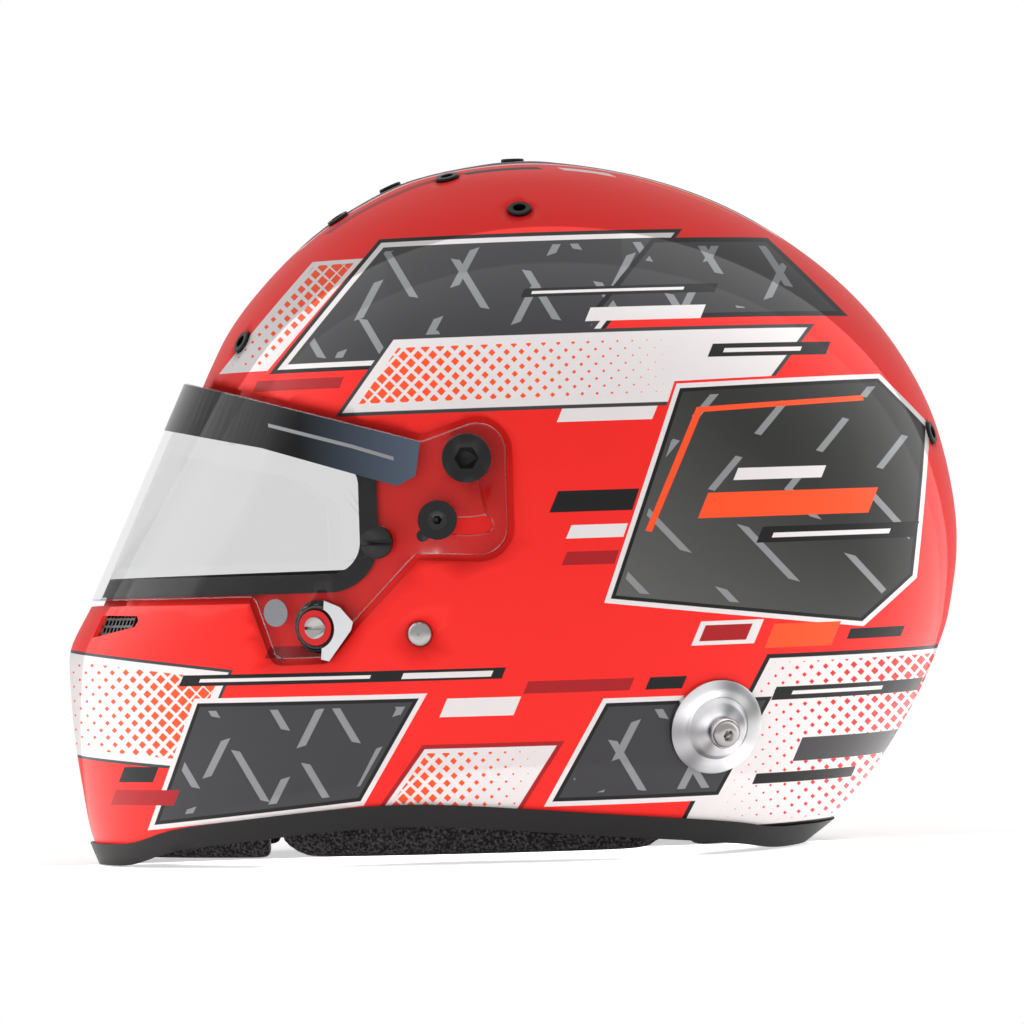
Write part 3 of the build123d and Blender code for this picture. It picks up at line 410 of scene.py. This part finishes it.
high = livery.mask(livery.plane(0, 0, 1, STRIPE_HEIGHT))
stripe = livery.polygon([(-90, -12), (80, -12), (96, 12), (-74, 12)], top=True)
for width, edge in STRIPE_EDGES:
    livery.lay(edge, livery.both(high, livery.mask(stripe, width)))
livery.lay(STEEL_GREY, livery.both(livery.both(high, livery.mask(stripe, -STRIPE_INSET)),
                                   livery.dashes))
for x, y, length, width, fill in STRIPE_BARS:
    piece = livery.polygon([(x, y), (x + length, y), (x + length + STRIPE_BAR_SHIFT, y + width),
                            (x + STRIPE_BAR_SHIFT, y + width)], top=True)
    livery.lay(fill, livery.both(high, livery.mask(piece)))

satin = paint.node_tree.nodes["Principled BSDF"]
paint.node_tree.links.new(livery.paint, satin.inputs["Base Color"])
satin.inputs["Roughness"].default_value = 0.5
satin.inputs["Specular IOR Level"].default_value = 0.22
print(f"{paint.name}: {len(paint.node_tree.nodes)} nodes in all")

# %% [markdown]
# ## Turned metal
# The tether anchors are turned aluminium: fine grooves run round them, so their highlights run
# out from the middle in sectors. Real grooves would take a million faces. Instead the highlight
# is stretched along the tangent, axis x (point - centre), and the sectors are painted highlights:
# the base colour goes light and dark by the angle round the axis.

# %% Turned metal
ANCHOR_CENTRE = (74.5, 108.688, 49.0)
ANCHOR_AXIS = (0.3586, 0.8919, -0.2754)
SECTOR_TURN = 1.9
SECTOR_SHARPNESS = 2.2
FINE_SECTORS = 7.0
GROOVE_DENSITY = 14.0
GROOVE_DEPTH = 0.00008


def turned_metal(centre, axis):
    """Turned face whose base colour holds painted highlights: light and dark sectors by
    cos(2 a + turn) of the angle a round the axis, with a finer ripple; the grooves are
    sin(density * distance from the centre)."""
    made = shader("Turned aluminium with painted highlights", linear(170, 170, 172), 0.3, 1.0, Anisotropic=0.8)
    tree = made.node_tree
    main = tree.nodes["Principled BSDF"]
    s = Places(tree)
    spoke = s.vector("SUBTRACT", s.point, centre)
    tangent = s.vector("CROSS_PRODUCT", spoke, axis)
    # Both anchors are worked out on the right side; on the left one the tangent's y is turned back
    tx, ty, tz = s.apart(tangent)
    tree.links.new(s.together((tx, s.sum("MULTIPLY", ty, s.sum("SIGN", s.side)), tz)),
                   main.inputs["Tangent"])
    level = np.cross(axis, (0.0, 0.0, 1.0))
    level /= np.linalg.norm(level)
    along, across = (s.vector("DOT_PRODUCT", spoke, tuple(way.tolist()), "Value")
                     for way in (level, np.cross(level, axis)))
    angle = s.sum("ARCTAN2", across, along)
    # Painted highlight: light and dark sectors put into the base colour by the angle round the axis
    highlight_sectors = s.sum("COSINE", s.sum("MULTIPLY_ADD", angle, 2.0, SECTOR_TURN))
    highlight_sectors = s.sum("POWER", s.sum("MULTIPLY_ADD", highlight_sectors, 0.5, 0.5), SECTOR_SHARPNESS)
    fine = s.sum("MULTIPLY", s.sum("COSINE", s.sum("MULTIPLY", angle, FINE_SECTORS)), 0.12)
    painted_highlight = s.sum("ADD", s.sum("MULTIPLY", highlight_sectors, 0.85), s.sum("ADD", fine, 0.12), clamp=True)
    # The two colours are the painted dark and bright of the highlight on one plain aluminium
    tree.links.new(s.layer(linear(118, 118, 119), linear(226, 226, 228), painted_highlight),
                   main.inputs["Base Color"])
    away = s.vector("LENGTH", tangent, result="Value")
    raised(tree, s.sum("SINE", s.sum("MULTIPLY", away, GROOVE_DENSITY)), 0.12, GROOVE_DEPTH)
    return made


aluminium = turned_metal(ANCHOR_CENTRE, ANCHOR_AXIS)
print(f"{aluminium.name}: turned about {ANCHOR_CENTRE} mm")

# %% [markdown]
# ## Clear plastic
# The shield is clear polycarbonate. Real refraction would need many light bounces and grows dark
# with few, so light here passes straight through, tinted a little. The surface mirrors more at a
# glancing view, as Fresnel's law says, on its front face only. The sun strip is a black film
# that fades to slate at its ends.

# %% Clear plastic and sun strip
MIRROR_SHARE = 0.35
MIRROR_ROUGHNESS = 0.03
STRIP_FADE_START = 80.0
STRIP_FADE_LENGTH = 44.0


def blended(tree, share, first, second):
    """Mix of two shaders: the first where share is 0, the second where it is 1."""
    mix = tree.nodes.new("ShaderNodeMixShader")
    for index, value in enumerate((share, first, second)):
        tree.links.new(value, mix.inputs[index])
    return mix.outputs["Shader"]


def clear(name, tint, shine):
    """Mirror share = Fresnel's share * MIRROR_SHARE on a front face, 0 on a back face."""
    made = bpy.data.materials.new(name)
    made.use_nodes = True
    tree = made.node_tree
    tree.nodes.remove(tree.nodes["Principled BSDF"])
    through = tree.nodes.new("ShaderNodeBsdfTransparent")
    through.inputs["Color"].default_value = tint
    mirror = tree.nodes.new("ShaderNodeBsdfGlossy")
    mirror.inputs["Roughness"].default_value = MIRROR_ROUGHNESS
    mirror.inputs["Color"].default_value = (1, 1, 1, 1)
    fresnel = tree.nodes.new("ShaderNodeFresnel")
    fresnel.inputs["IOR"].default_value = shine
    facing = tree.nodes.new("ShaderNodeNewGeometry")
    s = Sums(tree)
    front = s.sum("MULTIPLY_ADD", facing.outputs["Backfacing"], -1.0, 1.0)
    weak = s.sum("MULTIPLY", fresnel.outputs["Fac"], MIRROR_SHARE)
    tree.links.new(blended(tree, s.both(front, weak), through.outputs["BSDF"],
                           mirror.outputs["BSDF"]),
                   tree.nodes["Material Output"].inputs["Surface"])
    return made


def strip_finish():
    made = shader("Sun strip film", BLACK, 0.2, Specular_IOR_Level=0.12)
    tree = made.node_tree
    s = Places(tree)
    ends = s.sum("MULTIPLY_ADD", s.x, 1 / STRIP_FADE_LENGTH, STRIP_FADE_START / STRIP_FADE_LENGTH,
                 clamp=True)
    color = s.layer(BLACK, linear(84, 96, 112), s.sum("MULTIPLY", ends, 0.9))
    for line in ([(-92, 168.2), (-60, 158.9), (-60, 160.3), (-92, 169.6)],
                 [(-60, 158.9), (-44, 153.6), (-44, 155.0), (-60, 160.3)]):
        color = s.layer(color, STEEL_GREY, s.mask(s.polygon(line)))
    tree.links.new(color, tree.nodes["Principled BSDF"].inputs["Base Color"])
    return made


clear_shield = clear("Clear shield", (0.91, 0.91, 0.912, 1), 1.45)
clear_pane = clear("Clear inner pane", (0.992, 0.992, 0.993, 1), 1.2)
shield_edge = clear("Shield edge", (0.78, 0.78, 0.79, 1), 2.6)
strip = strip_finish()
print(f"{clear_shield.name}, {clear_pane.name}, {shield_edge.name} and {strip.name}")

# %% [markdown]
# ## Fabric
# The pads wear a dark speckled knit. Its loops are far smaller than a face of the mesh, so they
# are made in the shader: a noise picks between near black and grey, and a cell pattern of the
# same size, read as a height, gives the loops. The strap's weave follows its own u and v map.

# %% Knit and webbing
KNIT_SCALE = 900.0
KNIT_DEPTH = 0.0004
WEAVE_DEPTH = 0.0003


def knit():
    made = shader("Speckled knit", linear(44, 43, 45), 0.95, Specular_IOR_Level=0.15)
    tree = made.node_tree
    place = tree.nodes.new("ShaderNodeTexCoord")
    fine = tree.nodes.new("ShaderNodeTexNoise")
    fine.inputs["Scale"].default_value = KNIT_SCALE
    fine.inputs["Detail"].default_value = 2.0
    ramp = tree.nodes.new("ShaderNodeValToRGB")
    ramp.color_ramp.elements[0].position = 0.42
    ramp.color_ramp.elements[0].color = linear(24, 23, 24)
    ramp.color_ramp.elements[1].position = 0.7
    ramp.color_ramp.elements[1].color = linear(84, 80, 82)
    loops = tree.nodes.new("ShaderNodeTexVoronoi")
    loops.inputs["Scale"].default_value = KNIT_SCALE
    tree.links.new(place.outputs["Object"], fine.inputs["Vector"])
    tree.links.new(place.outputs["Object"], loops.inputs["Vector"])
    tree.links.new(fine.outputs["Fac"], ramp.inputs["Fac"])
    tree.links.new(ramp.outputs["Color"], tree.nodes["Principled BSDF"].inputs["Base Color"])
    raised(tree, loops.outputs["Distance"], 0.5, KNIT_DEPTH)
    return made


def webbing():
    """Woven strap: fine ribs along the strap's own u and v map."""
    made = shader("Black webbing", linear(20, 20, 21), 0.8, Specular_IOR_Level=0.2)
    tree = made.node_tree
    place = tree.nodes.new("ShaderNodeUVMap")
    place.uv_map = "weave"
    check = tree.nodes.new("ShaderNodeTexChecker")
    check.inputs["Scale"].default_value = 1.0
    tree.links.new(place.outputs["UV"], check.inputs["Vector"])
    raised(tree, check.outputs["Fac"], 0.6, WEAVE_DEPTH)
    return made


fabric = knit()
weave = webbing()
print(f"{fabric.name} and {weave.name}")

# %% [markdown]
# ## Hard pieces
# Shields, screws and rings keep the exact shape of their solids. A solid comes in as loose
# triangles, which would be shaded flat, so each piece is shown by a copy of its mesh: its doubles
# are merged, and it is shaded smooth up to a crease angle. Curved walls then look curved, and cut
# edges stay crisp. Remodelling them here would only lose their fit.

# %% Smooth copies of the solids
MERGE_DISTANCE = 2e-6


def placed(mesh, node, finish, crease):
    """An object of the mesh, smooth up to the crease angle, that shows and rides for its node."""
    mesh.polygons.foreach_set("use_smooth", np.ones(len(mesh.polygons), bool))
    mesh.set_sharp_from_angle(angle=math.radians(crease))
    mesh.materials.append(finish)
    piece = bpy.data.objects.new(mesh.name, mesh)
    bpy.context.scene.collection.objects.link(piece)
    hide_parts(node)
    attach(piece, body_of_node[node])
    return piece


def smooth_copy(node, name, finish, crease=32.0):
    mesh = nodes[node].data.copy()
    mesh.name = name
    work = bmesh.new()
    work.from_mesh(mesh)
    bmesh.ops.remove_doubles(work, verts=work.verts, dist=MERGE_DISTANCE)
    work.to_mesh(mesh)
    work.free()
    mesh.materials.clear()
    return placed(mesh, node, finish, crease)


hard_pieces = (
    ("edge_trim", "Rubber_edge_trim", rubber),
    ("eyeport_gasket", "Eyeport_gasket", rubber),
    ("vent_grommets", "Vent_grommets", plastic),
    ("chin_vent_mesh_left", "Chin_vent_mesh_left", plastic),
    ("chin_vent_mesh_right", "Chin_vent_mesh_right", plastic),
    ("anchor_washers", "Anchor_washers", aluminium),
    ("anchor_posts", "Anchor_posts", aluminium),
    ("anchor_screws", "Anchor_screws", steel),
    ("anchor_nuts", "Anchor_nuts", steel),
    ("strap_rivets", "Strap_rivets", steel),
    ("strap_rivet_washers", "Strap_rivet_washers", steel),
    ("d_ring_outer", "Outer_strap_ring", steel),
    ("d_ring_inner", "Inner_strap_ring", steel),
    ("crown_liner", "Upper_foam", foam),
    ("chin_bar_foam", "Chin_bar_foam", foam),
    ("pad_snaps", "Pad_snaps", plastic),
    ("pivot_bushes", "Pivot_bushes", lever_metal),
    ("pivot_nuts", "Pivot_nuts", steel),
    ("pivot_caps", "Pivot_caps", plastic),
    ("slot_bushes", "Slot_bushes", lever_metal),
    ("slot_nuts", "Slot_nuts", steel),
    ("cam_washers", "Cam_washers", gloss),
    ("slot_screws", "Slot_screws", dark_steel),
    ("visor_shield", "Shield", clear_shield),
    ("visor_inner_pane", "Inner_pane", clear_pane),
    ("visor_top_strip", "Sun_strip", strip),
    ("foil_disc", "Foil_disc", foil),
    ("lift_lever", "Lift_tab", lever_metal),
    ("lock_housing", "Lock_housing", gloss),
    ("lock_ring", "Lock_ring", red_metal),
    ("lock_pin", "Lock_pin", steel),
    ("lock_spring", "Lock_spring", steel),
    ("lock_strike", "Lock_strike", lever_metal),
    ("tearoff_post_left", "Tear-off_post_left", plastic),
    ("tearoff_post_right", "Tear-off_post_right", plastic),
)
triangles = [len(smooth_copy(*piece).data.polygons) for piece in hard_pieces]
print(f"{len(hard_pieces)} hard pieces, {sum(triangles)} triangles")

# %% [markdown]
# ## The shield's cut edges
# A shield is cut from a formed sheet, and its polished edges catch the light as thin bright
# lines. A sharp edge has no face to catch it, so a small bevel makes one, with a stronger
# mirror. A wall of the cut looks up or down, or along the helmet where the skin looks sideways.

# %% Polished shield edges
WALL_SLOPE = 0.7
SKIN_SLOPE = 0.6
FRONT_END = -0.105
POLISH_WIDTH = 0.0007


def faces_of(mesh):
    """Centres and normals of a mesh's faces."""
    centres = np.empty(len(mesh.polygons) * 3)
    normals = np.empty(len(mesh.polygons) * 3)
    mesh.polygons.foreach_get("center", centres)
    mesh.polygons.foreach_get("normal", normals)
    return centres.reshape(-1, 3), normals.reshape(-1, 3)


shield = bpy.data.objects["Shield"]
shield.data.materials.append(shield_edge)
centres, normals = faces_of(shield.data)
cut = (np.abs(normals[:, 2]) > WALL_SLOPE) | ((centres[:, 0] > FRONT_END)
                                              & (np.abs(normals[:, 1]) < SKIN_SLOPE))
shield.data.polygons.foreach_set("material_index", cut.astype(np.int32))
bevel = shield.modifiers.new("Polished edge", "BEVEL")
bevel.width = POLISH_WIDTH
bevel.segments = 2
bevel.limit_method = "ANGLE"
bevel.angle_limit = math.radians(50)
bevel.use_clamp_overlap = False
bevel.material = 1
print(f"{shield.name}: {int(cut.sum())} of {len(cut)} faces are cut edges")

# %% [markdown]
# ## The shell's two sides
# Outside, the laminate is painted; inside it is left bare. Both sides are one mesh, so its faces
# are sorted: one that looks towards the helmet's middle is bare, and every other one is painted.

# %% Painted outside, bare inside
HEAD_MIDDLE = np.array([0.0, 0.0, 0.12])
INWARD_SHARE = -0.25

shell = smooth_copy("shell", "Painted_shell", paint)
shell.data.materials.append(composite)
centres, normals = faces_of(shell.data)
centres = centres - HEAD_MIDDLE
inward = np.sum(centres * normals, axis=1) < INWARD_SHARE * np.linalg.norm(centres, axis=1)
shell.data.polygons.foreach_set("material_index", inward.astype(np.int32))
shell.data.update()
print(f"{shell.name}: {len(inward)} triangles, {int(inward.sum())} of them on the inside")

# %% [markdown]
# ## Pads
# The pads are blocks of soft foam in a sewn cover, so they have no sharp edge anywhere. A cloth
# simulation could inflate them, but the space round them is tight and known. Each one starts as
# the solid that fills its place, is cut into an even grid of faces, and then every point is drawn
# towards its neighbours' mean again and again, which rounds the edges over.

# %% Rounded pads
PULL = 0.6


def plush(node, name, grid, passes):
    """Each pass moves a point p to p + PULL (mean of its neighbours - p)."""
    base = smooth_copy(node, name, fabric)
    cut = base.modifiers.new("Even grid", "REMESH")
    cut.mode = "VOXEL"
    cut.voxel_size = grid
    view = base.evaluated_get(bpy.context.evaluated_depsgraph_get())
    mesh = bpy.data.meshes.new_from_object(view)
    base.modifiers.clear()
    mesh.name = name
    points = np.empty(len(mesh.vertices) * 3)
    mesh.vertices.foreach_get("co", points)
    points = points.reshape(-1, 3)
    ends = np.empty(len(mesh.edges) * 2, np.int32)
    mesh.edges.foreach_get("vertices", ends)
    ends = ends.reshape(-1, 2)
    links = np.bincount(ends.ravel(), minlength=len(points))[:, None]
    for _ in range(passes):
        total = np.zeros_like(points)
        np.add.at(total, ends[:, 0], points[ends[:, 1]])
        np.add.at(total, ends[:, 1], points[ends[:, 0]])
        points = points + PULL * (total / links - points)
    mesh.vertices.foreach_set("co", points.ravel())
    mesh.polygons.foreach_set("use_smooth", np.ones(len(mesh.polygons), bool))
    mesh.materials.clear()
    mesh.materials.append(fabric)
    mesh.update()
    base.data = mesh
    print(f"{name}: {len(mesh.polygons)} faces, {passes} smoothing passes")


plush("cheek_pad_left", "Cheek_pad_left", 0.0018, 9)
plush("cheek_pad_right", "Cheek_pad_right", 0.0018, 9)
plush("chin_bar_pad", "Chin_bar_pad", 0.0018, 6)
plush("neck_roll", "Neck_roll", 0.0022, 10)
plush("comfort_liner", "Comfort_liner", 0.0028, 5)

# %% [markdown]
# ## The chin strap's line
# The strap is riveted to the shell, goes in between the pads and hangs with its end folded back.
# It could be simulated as cloth, but webbing this stiff keeps flat runs and round bends, so its
# middle line is drawn as straight runs joined by arcs. The line lies in the plane through the
# rivet that stands square to the shell: v runs up the shell and u out of it, in millimetres.

# %% Line of the strap
# The left strap rivet's middle on the shell, and the shell's directions there
RIVET = np.array([-36.4, -117.234, 87.8])
UP = np.array([-0.0209, -0.0832, 0.9963])
OUT = np.array([-0.2428, -0.9663, -0.0857])
ACROSS = np.cross(UP, OUT)
MIRRORED = np.array([1.0, -1.0, 1.0])
STRAP_STEP = 1.2


def rounded_line(corners, radii, step=STRAP_STEP):
    """Points along straight runs joined by tangent arcs: an arc's centre is radius / sin(half the
    corner's angle) from the corner, on its bisector."""
    corners = np.array(corners, float)
    points = [corners[:1]]
    for before, corner, after, radius in zip(corners[:-2], corners[1:-1], corners[2:], radii):
        a = (before - corner) / np.linalg.norm(before - corner)
        b = (after - corner) / np.linalg.norm(after - corner)
        half = 0.5 * math.acos(float(np.clip(np.dot(a, b), -1, 1)))
        centre = (a + b) / np.linalg.norm(a + b) * radius / math.sin(half) + corner
        first = corner + a * radius / math.tan(half) - centre
        last = corner + b * radius / math.tan(half) - centre
        turn = math.pi - 2 * half
        share = np.linspace(0, 1, max(4, int(turn * radius / step) + 2))[:, None]
        points.append(centre + (np.sin((1 - share) * turn) * first + np.sin(share * turn) * last)
                      / math.sin(turn))
    points.append(corners[-1:])
    line = np.concatenate(points)
    length = np.concatenate([[0], np.cumsum(np.linalg.norm(np.diff(line, axis=0), axis=1))])
    even = np.linspace(0, length[-1], int(length[-1] / step) + 2)
    return np.stack([np.interp(even, length, line[:, axis]) for axis in (0, 1)], axis=1), even


# Corners as (v, u): how far up the shell from the rivet, and how far out of it
STRAP_DEPTH = -4.2
HANG_DEPTH = -58
ROUTE = [(9, STRAP_DEPTH), (-18, STRAP_DEPTH - 0.3), (-31, 3 * STRAP_DEPTH), (-33, HANG_DEPTH)]
FOLD = [(-86, HANG_DEPTH), (-86, HANG_DEPTH - 7), (-46, HANG_DEPTH - 7)]
RING_END = [(-43.2, HANG_DEPTH)]
BEND = 6
FOLD_BEND = 3.4
print(f"The strap's line starts at the rivet, {RIVET} mm")

# %% [markdown]
# ## The chin strap
# A flat rounded section is carried along that line: the point at step i and corner j is the line's
# point plus the section's depth along the line's normal and its width across. The weave's own map
# is the length along the strap and the place across it.

# %% Strap
STRAP_WIDTH = 24.0
STRAP_THICKNESS = 1.8
SELVEDGE = 0.6
SELVEDGE_SHARE = 0.3
RIB = 0.9
SMOOTH_UP_TO = 40.0


def strap(name, node, corners, radii, mirrored=False, sewn_on=()):
    """Flat tube round the line: corner points of the section at each step."""
    line, even = rounded_line(corners, radii)
    along = np.gradient(line, axis=0)
    along /= np.linalg.norm(along, axis=1, keepdims=True)
    side = np.stack([-along[:, 1], along[:, 0]], axis=1)
    half, depth = STRAP_WIDTH / 2, STRAP_THICKNESS / 2
    flank = depth * SELVEDGE_SHARE
    section = np.array([(-half + SELVEDGE, -depth), (half - SELVEDGE, -depth), (half, -flank),
                        (half, flank), (half - SELVEDGE, depth), (-half + SELVEDGE, depth),
                        (-half, flank), (-half, -flank)])
    around = line[:, None, :] + section[None, :, 1:2] * side[:, None, :]
    points = (RIVET + around[..., 0:1] * UP + around[..., 1:2] * OUT
              + section[None, :, 0:1] * ACROSS)
    rings, ring = points.shape[:2]
    i, j = np.meshgrid(np.arange(rings - 1), np.arange(ring), indexing="ij")
    after = (j + 1) % ring
    faces = np.stack([i * ring + j, i * ring + after, (i + 1) * ring + after, (i + 1) * ring + j],
                     axis=-1).reshape(-1, 4)
    caps = [list(range(ring))[::-1], list(range((rings - 1) * ring, rings * ring))]
    if mirrored:
        points = points * MIRRORED
        faces = faces[:, ::-1]
        caps = [cap[::-1] for cap in caps]
    mesh = bpy.data.meshes.new(name)
    mesh.from_pydata(points.reshape(-1, 3) / MILLIMETRES, [], faces.tolist() + caps)
    piece = placed(mesh, node, weave, SMOOTH_UP_TO)
    loops = np.empty(len(mesh.loops), np.int32)
    mesh.loops.foreach_get("vertex_index", loops)
    uv = np.stack([even[loops // ring], section[loops % ring, 0]], axis=1) / RIB
    mesh.uv_layers.new(name="weave").data.foreach_set("uv", uv.ravel())
    mesh.update()
    print(f"{name}: {len(mesh.polygons)} faces, flat {STRAP_WIDTH:.0f} x {even[-1]:.1f} mm")


strap("Chin_strap_left", "chin_strap_left", ROUTE + FOLD, [BEND] * 3 + [FOLD_BEND] * 2)

# %% [markdown]
# ## The ring loop
# The right strap ends in a loop that is stitched round the two rings' straight bars. Webbing
# wound round both would meet itself between them, so the loop is one rounded block with two
# bores left open: its outline is a stadium less two circles, filled, and drawn out across.

# %% Loop round the rings' bars
LOOP_LEVEL = -46.0
LOOP_PITCH = 4.8
LOOP_RADIUS = 3.35
LOOP_BORE = 2.06
ROUND_POINTS = 48


def ring_loop(name):
    """Stadium of radius r and pitch p: depth = r cos t + sign(cos t) p / 2, level = r sin t."""
    turn = np.linspace(0, 2 * math.pi, ROUND_POINTS, endpoint=False)
    outlines = [np.stack([LOOP_LEVEL + LOOP_RADIUS * np.sin(turn),
                          HANG_DEPTH + LOOP_RADIUS * np.cos(turn)
                          + np.sign(np.cos(turn)) * LOOP_PITCH / 2], axis=1)]
    outlines += [np.stack([LOOP_LEVEL + LOOP_BORE * np.sin(turn),
                           HANG_DEPTH + shift + LOOP_BORE * np.cos(turn)], axis=1)
                 for shift in (-LOOP_PITCH / 2, LOOP_PITCH / 2)]
    work = bmesh.new()
    edges = []
    for outline in outlines:
        spots = (RIVET + outline[:, 0:1] * UP + outline[:, 1:2] * OUT - ACROSS * STRAP_WIDTH / 2)
        spots = spots * MIRRORED / MILLIMETRES
        made = [work.verts.new(tuple(spot)) for spot in spots]
        edges += [work.edges.new((made[k], made[(k + 1) % len(made)])) for k in range(len(made))]
    bmesh.ops.triangle_fill(work, edges=edges, use_beauty=True)
    drawn = bmesh.ops.extrude_face_region(work, geom=work.faces[:])
    moved = [item for item in drawn["geom"] if isinstance(item, bmesh.types.BMVert)]
    way = ACROSS * MIRRORED * STRAP_WIDTH / MILLIMETRES
    bmesh.ops.translate(work, verts=moved, vec=tuple(way))
    bmesh.ops.recalc_face_normals(work, faces=work.faces)
    mesh = bpy.data.meshes.new(name)
    work.to_mesh(mesh)
    work.free()
    piece = placed(mesh, "chin_strap_right", weave, SMOOTH_UP_TO)
    loops = np.empty(len(mesh.loops), np.int32)
    mesh.loops.foreach_get("vertex_index", loops)
    spots = np.empty(len(mesh.vertices) * 3)
    mesh.vertices.foreach_get("co", spots)
    spots = spots.reshape(-1, 3)[loops] * MIRRORED * MILLIMETRES - RIVET
    uv = np.stack([spots @ UP, spots @ ACROSS], axis=1) / RIB
    mesh.uv_layers.new(name="weave").data.foreach_set("uv", uv.ravel())
    print(f"{name}: {len(mesh.polygons)} faces")
    return piece


strap("Chin_strap_right", "chin_strap_right", ROUTE + RING_END, [BEND] * 3, mirrored=True,
      sewn_on=[ring_loop("Strap_ring_loop")])

# %% [markdown]
# ## Lamps
# The photograph was lit evenly from all round, with soft light, so four large area lamps stand
# round the helmet: a wide one above, one at each side of the camera and one behind. Small
# lamps would be simpler, but would leave hard lights on the satin paint.

# %% Lamps
AIM = (0.0, 0.0, 0.13)
LAMPS = (("Top_light", (0.0, -0.5, 1.7), (2.4, 1.8), 9.0),
         ("Left_light", (-1.3, -1.7, 0.8), (1.5, 1.5), 5.0),
         ("Right_light", (1.3, -1.7, 0.8), (1.5, 1.5), 5.0),
         ("Back_light", (0.2, 1.9, 0.9), (2.0, 1.5), 6.0))


def lamp(name, place, size, power):
    """Area lamp whose -z looks from its place to the helmet."""
    light = bpy.data.lights.new(name, "AREA")
    light.shape = "RECTANGLE"
    light.size, light.size_y = size
    light.energy = power
    made = bpy.data.objects.new(name, light)
    bpy.context.scene.collection.objects.link(made)
    way = np.array(AIM, float) - np.array(place, float)
    way /= np.linalg.norm(way)
    side = np.cross(way, (0, 0, 1))
    side /= np.linalg.norm(side)
    top = np.cross(side, way)
    made.matrix_world = [(side[0], top[0], -way[0], place[0]), (side[1], top[1], -way[1], place[1]),
                         (side[2], top[2], -way[2], place[2]), (0, 0, 0, 1)]


for row in LAMPS:
    lamp(*row)
print(f"{len(LAMPS)} lamps, {sum(power for *_, power in LAMPS):.0f} W in all")

# %% [markdown]
# ## Floor
# A white table would look grey at its far end and white near a lamp. A glow is therefore added to
# the lit floor for the rays that the camera sees, so it looks white but still takes the shadow,
# and the glow takes over away from the helmet. From below the floor is clear, so that the
# underside can be looked at.

# %% Pale floor
FLOOR_HALF = 6
FLOOR_LEVEL = -0.0005
FLOOR_GLOW = 0.56
GLOW_START = 300.0
GLOW_LENGTH = 350.0


def seen_or_mirrored(s):
    """1 for the camera's rays, also by way of a mirror or a clear piece; 0 for light's own."""
    path = s.tree.nodes.new("ShaderNodeLightPath")
    seen = s.sum("MAXIMUM", path.outputs["Is Camera Ray"], path.outputs["Is Glossy Ray"])
    return s.sum("MAXIMUM", seen, path.outputs["Is Transmission Ray"])


def pale_floor():
    made = shader("Pale floor", (0.8, 0.8, 0.8, 1), 0.95)
    tree = made.node_tree
    s = Places(tree)
    away = s.sum("SQRT", s.sum("ADD", s.sum("MULTIPLY", s.x, s.x), s.sum("MULTIPLY", s.y, s.y)))
    far = s.sum("MULTIPLY_ADD", away, 1 / GLOW_LENGTH, -GLOW_START / GLOW_LENGTH, clamp=True)
    seen = seen_or_mirrored(s)
    glow = tree.nodes.new("ShaderNodeEmission")
    tree.links.new(s.sum("MULTIPLY", seen, FLOOR_GLOW), glow.inputs["Strength"])
    lit = tree.nodes.new("ShaderNodeAddShader")
    tree.links.new(tree.nodes["Principled BSDF"].outputs["BSDF"], lit.inputs[0])
    tree.links.new(glow.outputs["Emission"], lit.inputs[1])
    plain = tree.nodes.new("ShaderNodeEmission")
    above = blended(tree, s.both(far, seen), lit.outputs["Shader"], plain.outputs["Emission"])
    back = tree.nodes.new("ShaderNodeNewGeometry").outputs["Backfacing"]
    nothing = tree.nodes.new("ShaderNodeBsdfTransparent").outputs["BSDF"]
    tree.links.new(blended(tree, back, above, nothing),
                   tree.nodes["Material Output"].inputs["Surface"])
    return made


floor_mesh = bpy.data.meshes.new("Floor")
floor_mesh.from_pydata([(x * FLOOR_HALF, y * FLOOR_HALF, FLOOR_LEVEL)
                        for x, y in ((-1, -1), (1, -1), (1, 1), (-1, 1))], [], [(0, 1, 2, 3)])
floor_mesh.materials.append(pale_floor())
floor = bpy.data.objects.new("Floor", floor_mesh)
bpy.context.scene.collection.objects.link(floor)
print(f"Floor: {2 * FLOOR_HALF} m square")

# %% [markdown]
# ## White background
# The world is plain white to the camera and in mirrors, and weaker where it only adds light, so
# that the background is clean and the helmet keeps its shading.

# %% White background
AMBIENT = 0.6

world = bpy.data.worlds.new("Studio")
bpy.context.scene.world = world
world.use_nodes = True
sky = Sums(world.node_tree)
strength = sky.sum("MULTIPLY_ADD", seen_or_mirrored(sky), 1.0 - AMBIENT, AMBIENT)
background = world.node_tree.nodes["Background"]
background.inputs["Color"].default_value = (1, 1, 1, 1)
world.node_tree.links.new(strength, background.inputs["Strength"])
print(f"World: 1 to the camera, {AMBIENT} as light")

# %% [markdown]
# ## Camera
# The photograph shows the left side squarely with hardly any perspective, so a long lens stands
# 3 m away at the height of the picture's middle. It is rolled by 1.9 degrees as the photograph is.

# %% Camera and sizes
CAMERA_DISTANCE = 3.0
CAMERA_HEIGHT = 0.1327
CAMERA_ROLL = 1.9
CLEAR_LAYERS = 32

scene = bpy.context.scene
lens = bpy.data.cameras.new("Camera")
lens.sensor_width = 36.0
lens.lens = 268.2
camera = bpy.data.objects.new("Camera", lens)
scene.collection.objects.link(camera)
camera.rotation_euler = (math.radians(90), math.radians(CAMERA_ROLL), 0)
camera.location = (0.0, -CAMERA_DISTANCE, CAMERA_HEIGHT)
scene.camera = camera
scene.view_settings.view_transform = "Standard"
scene.cycles.transparent_max_bounces = CLEAR_LAYERS
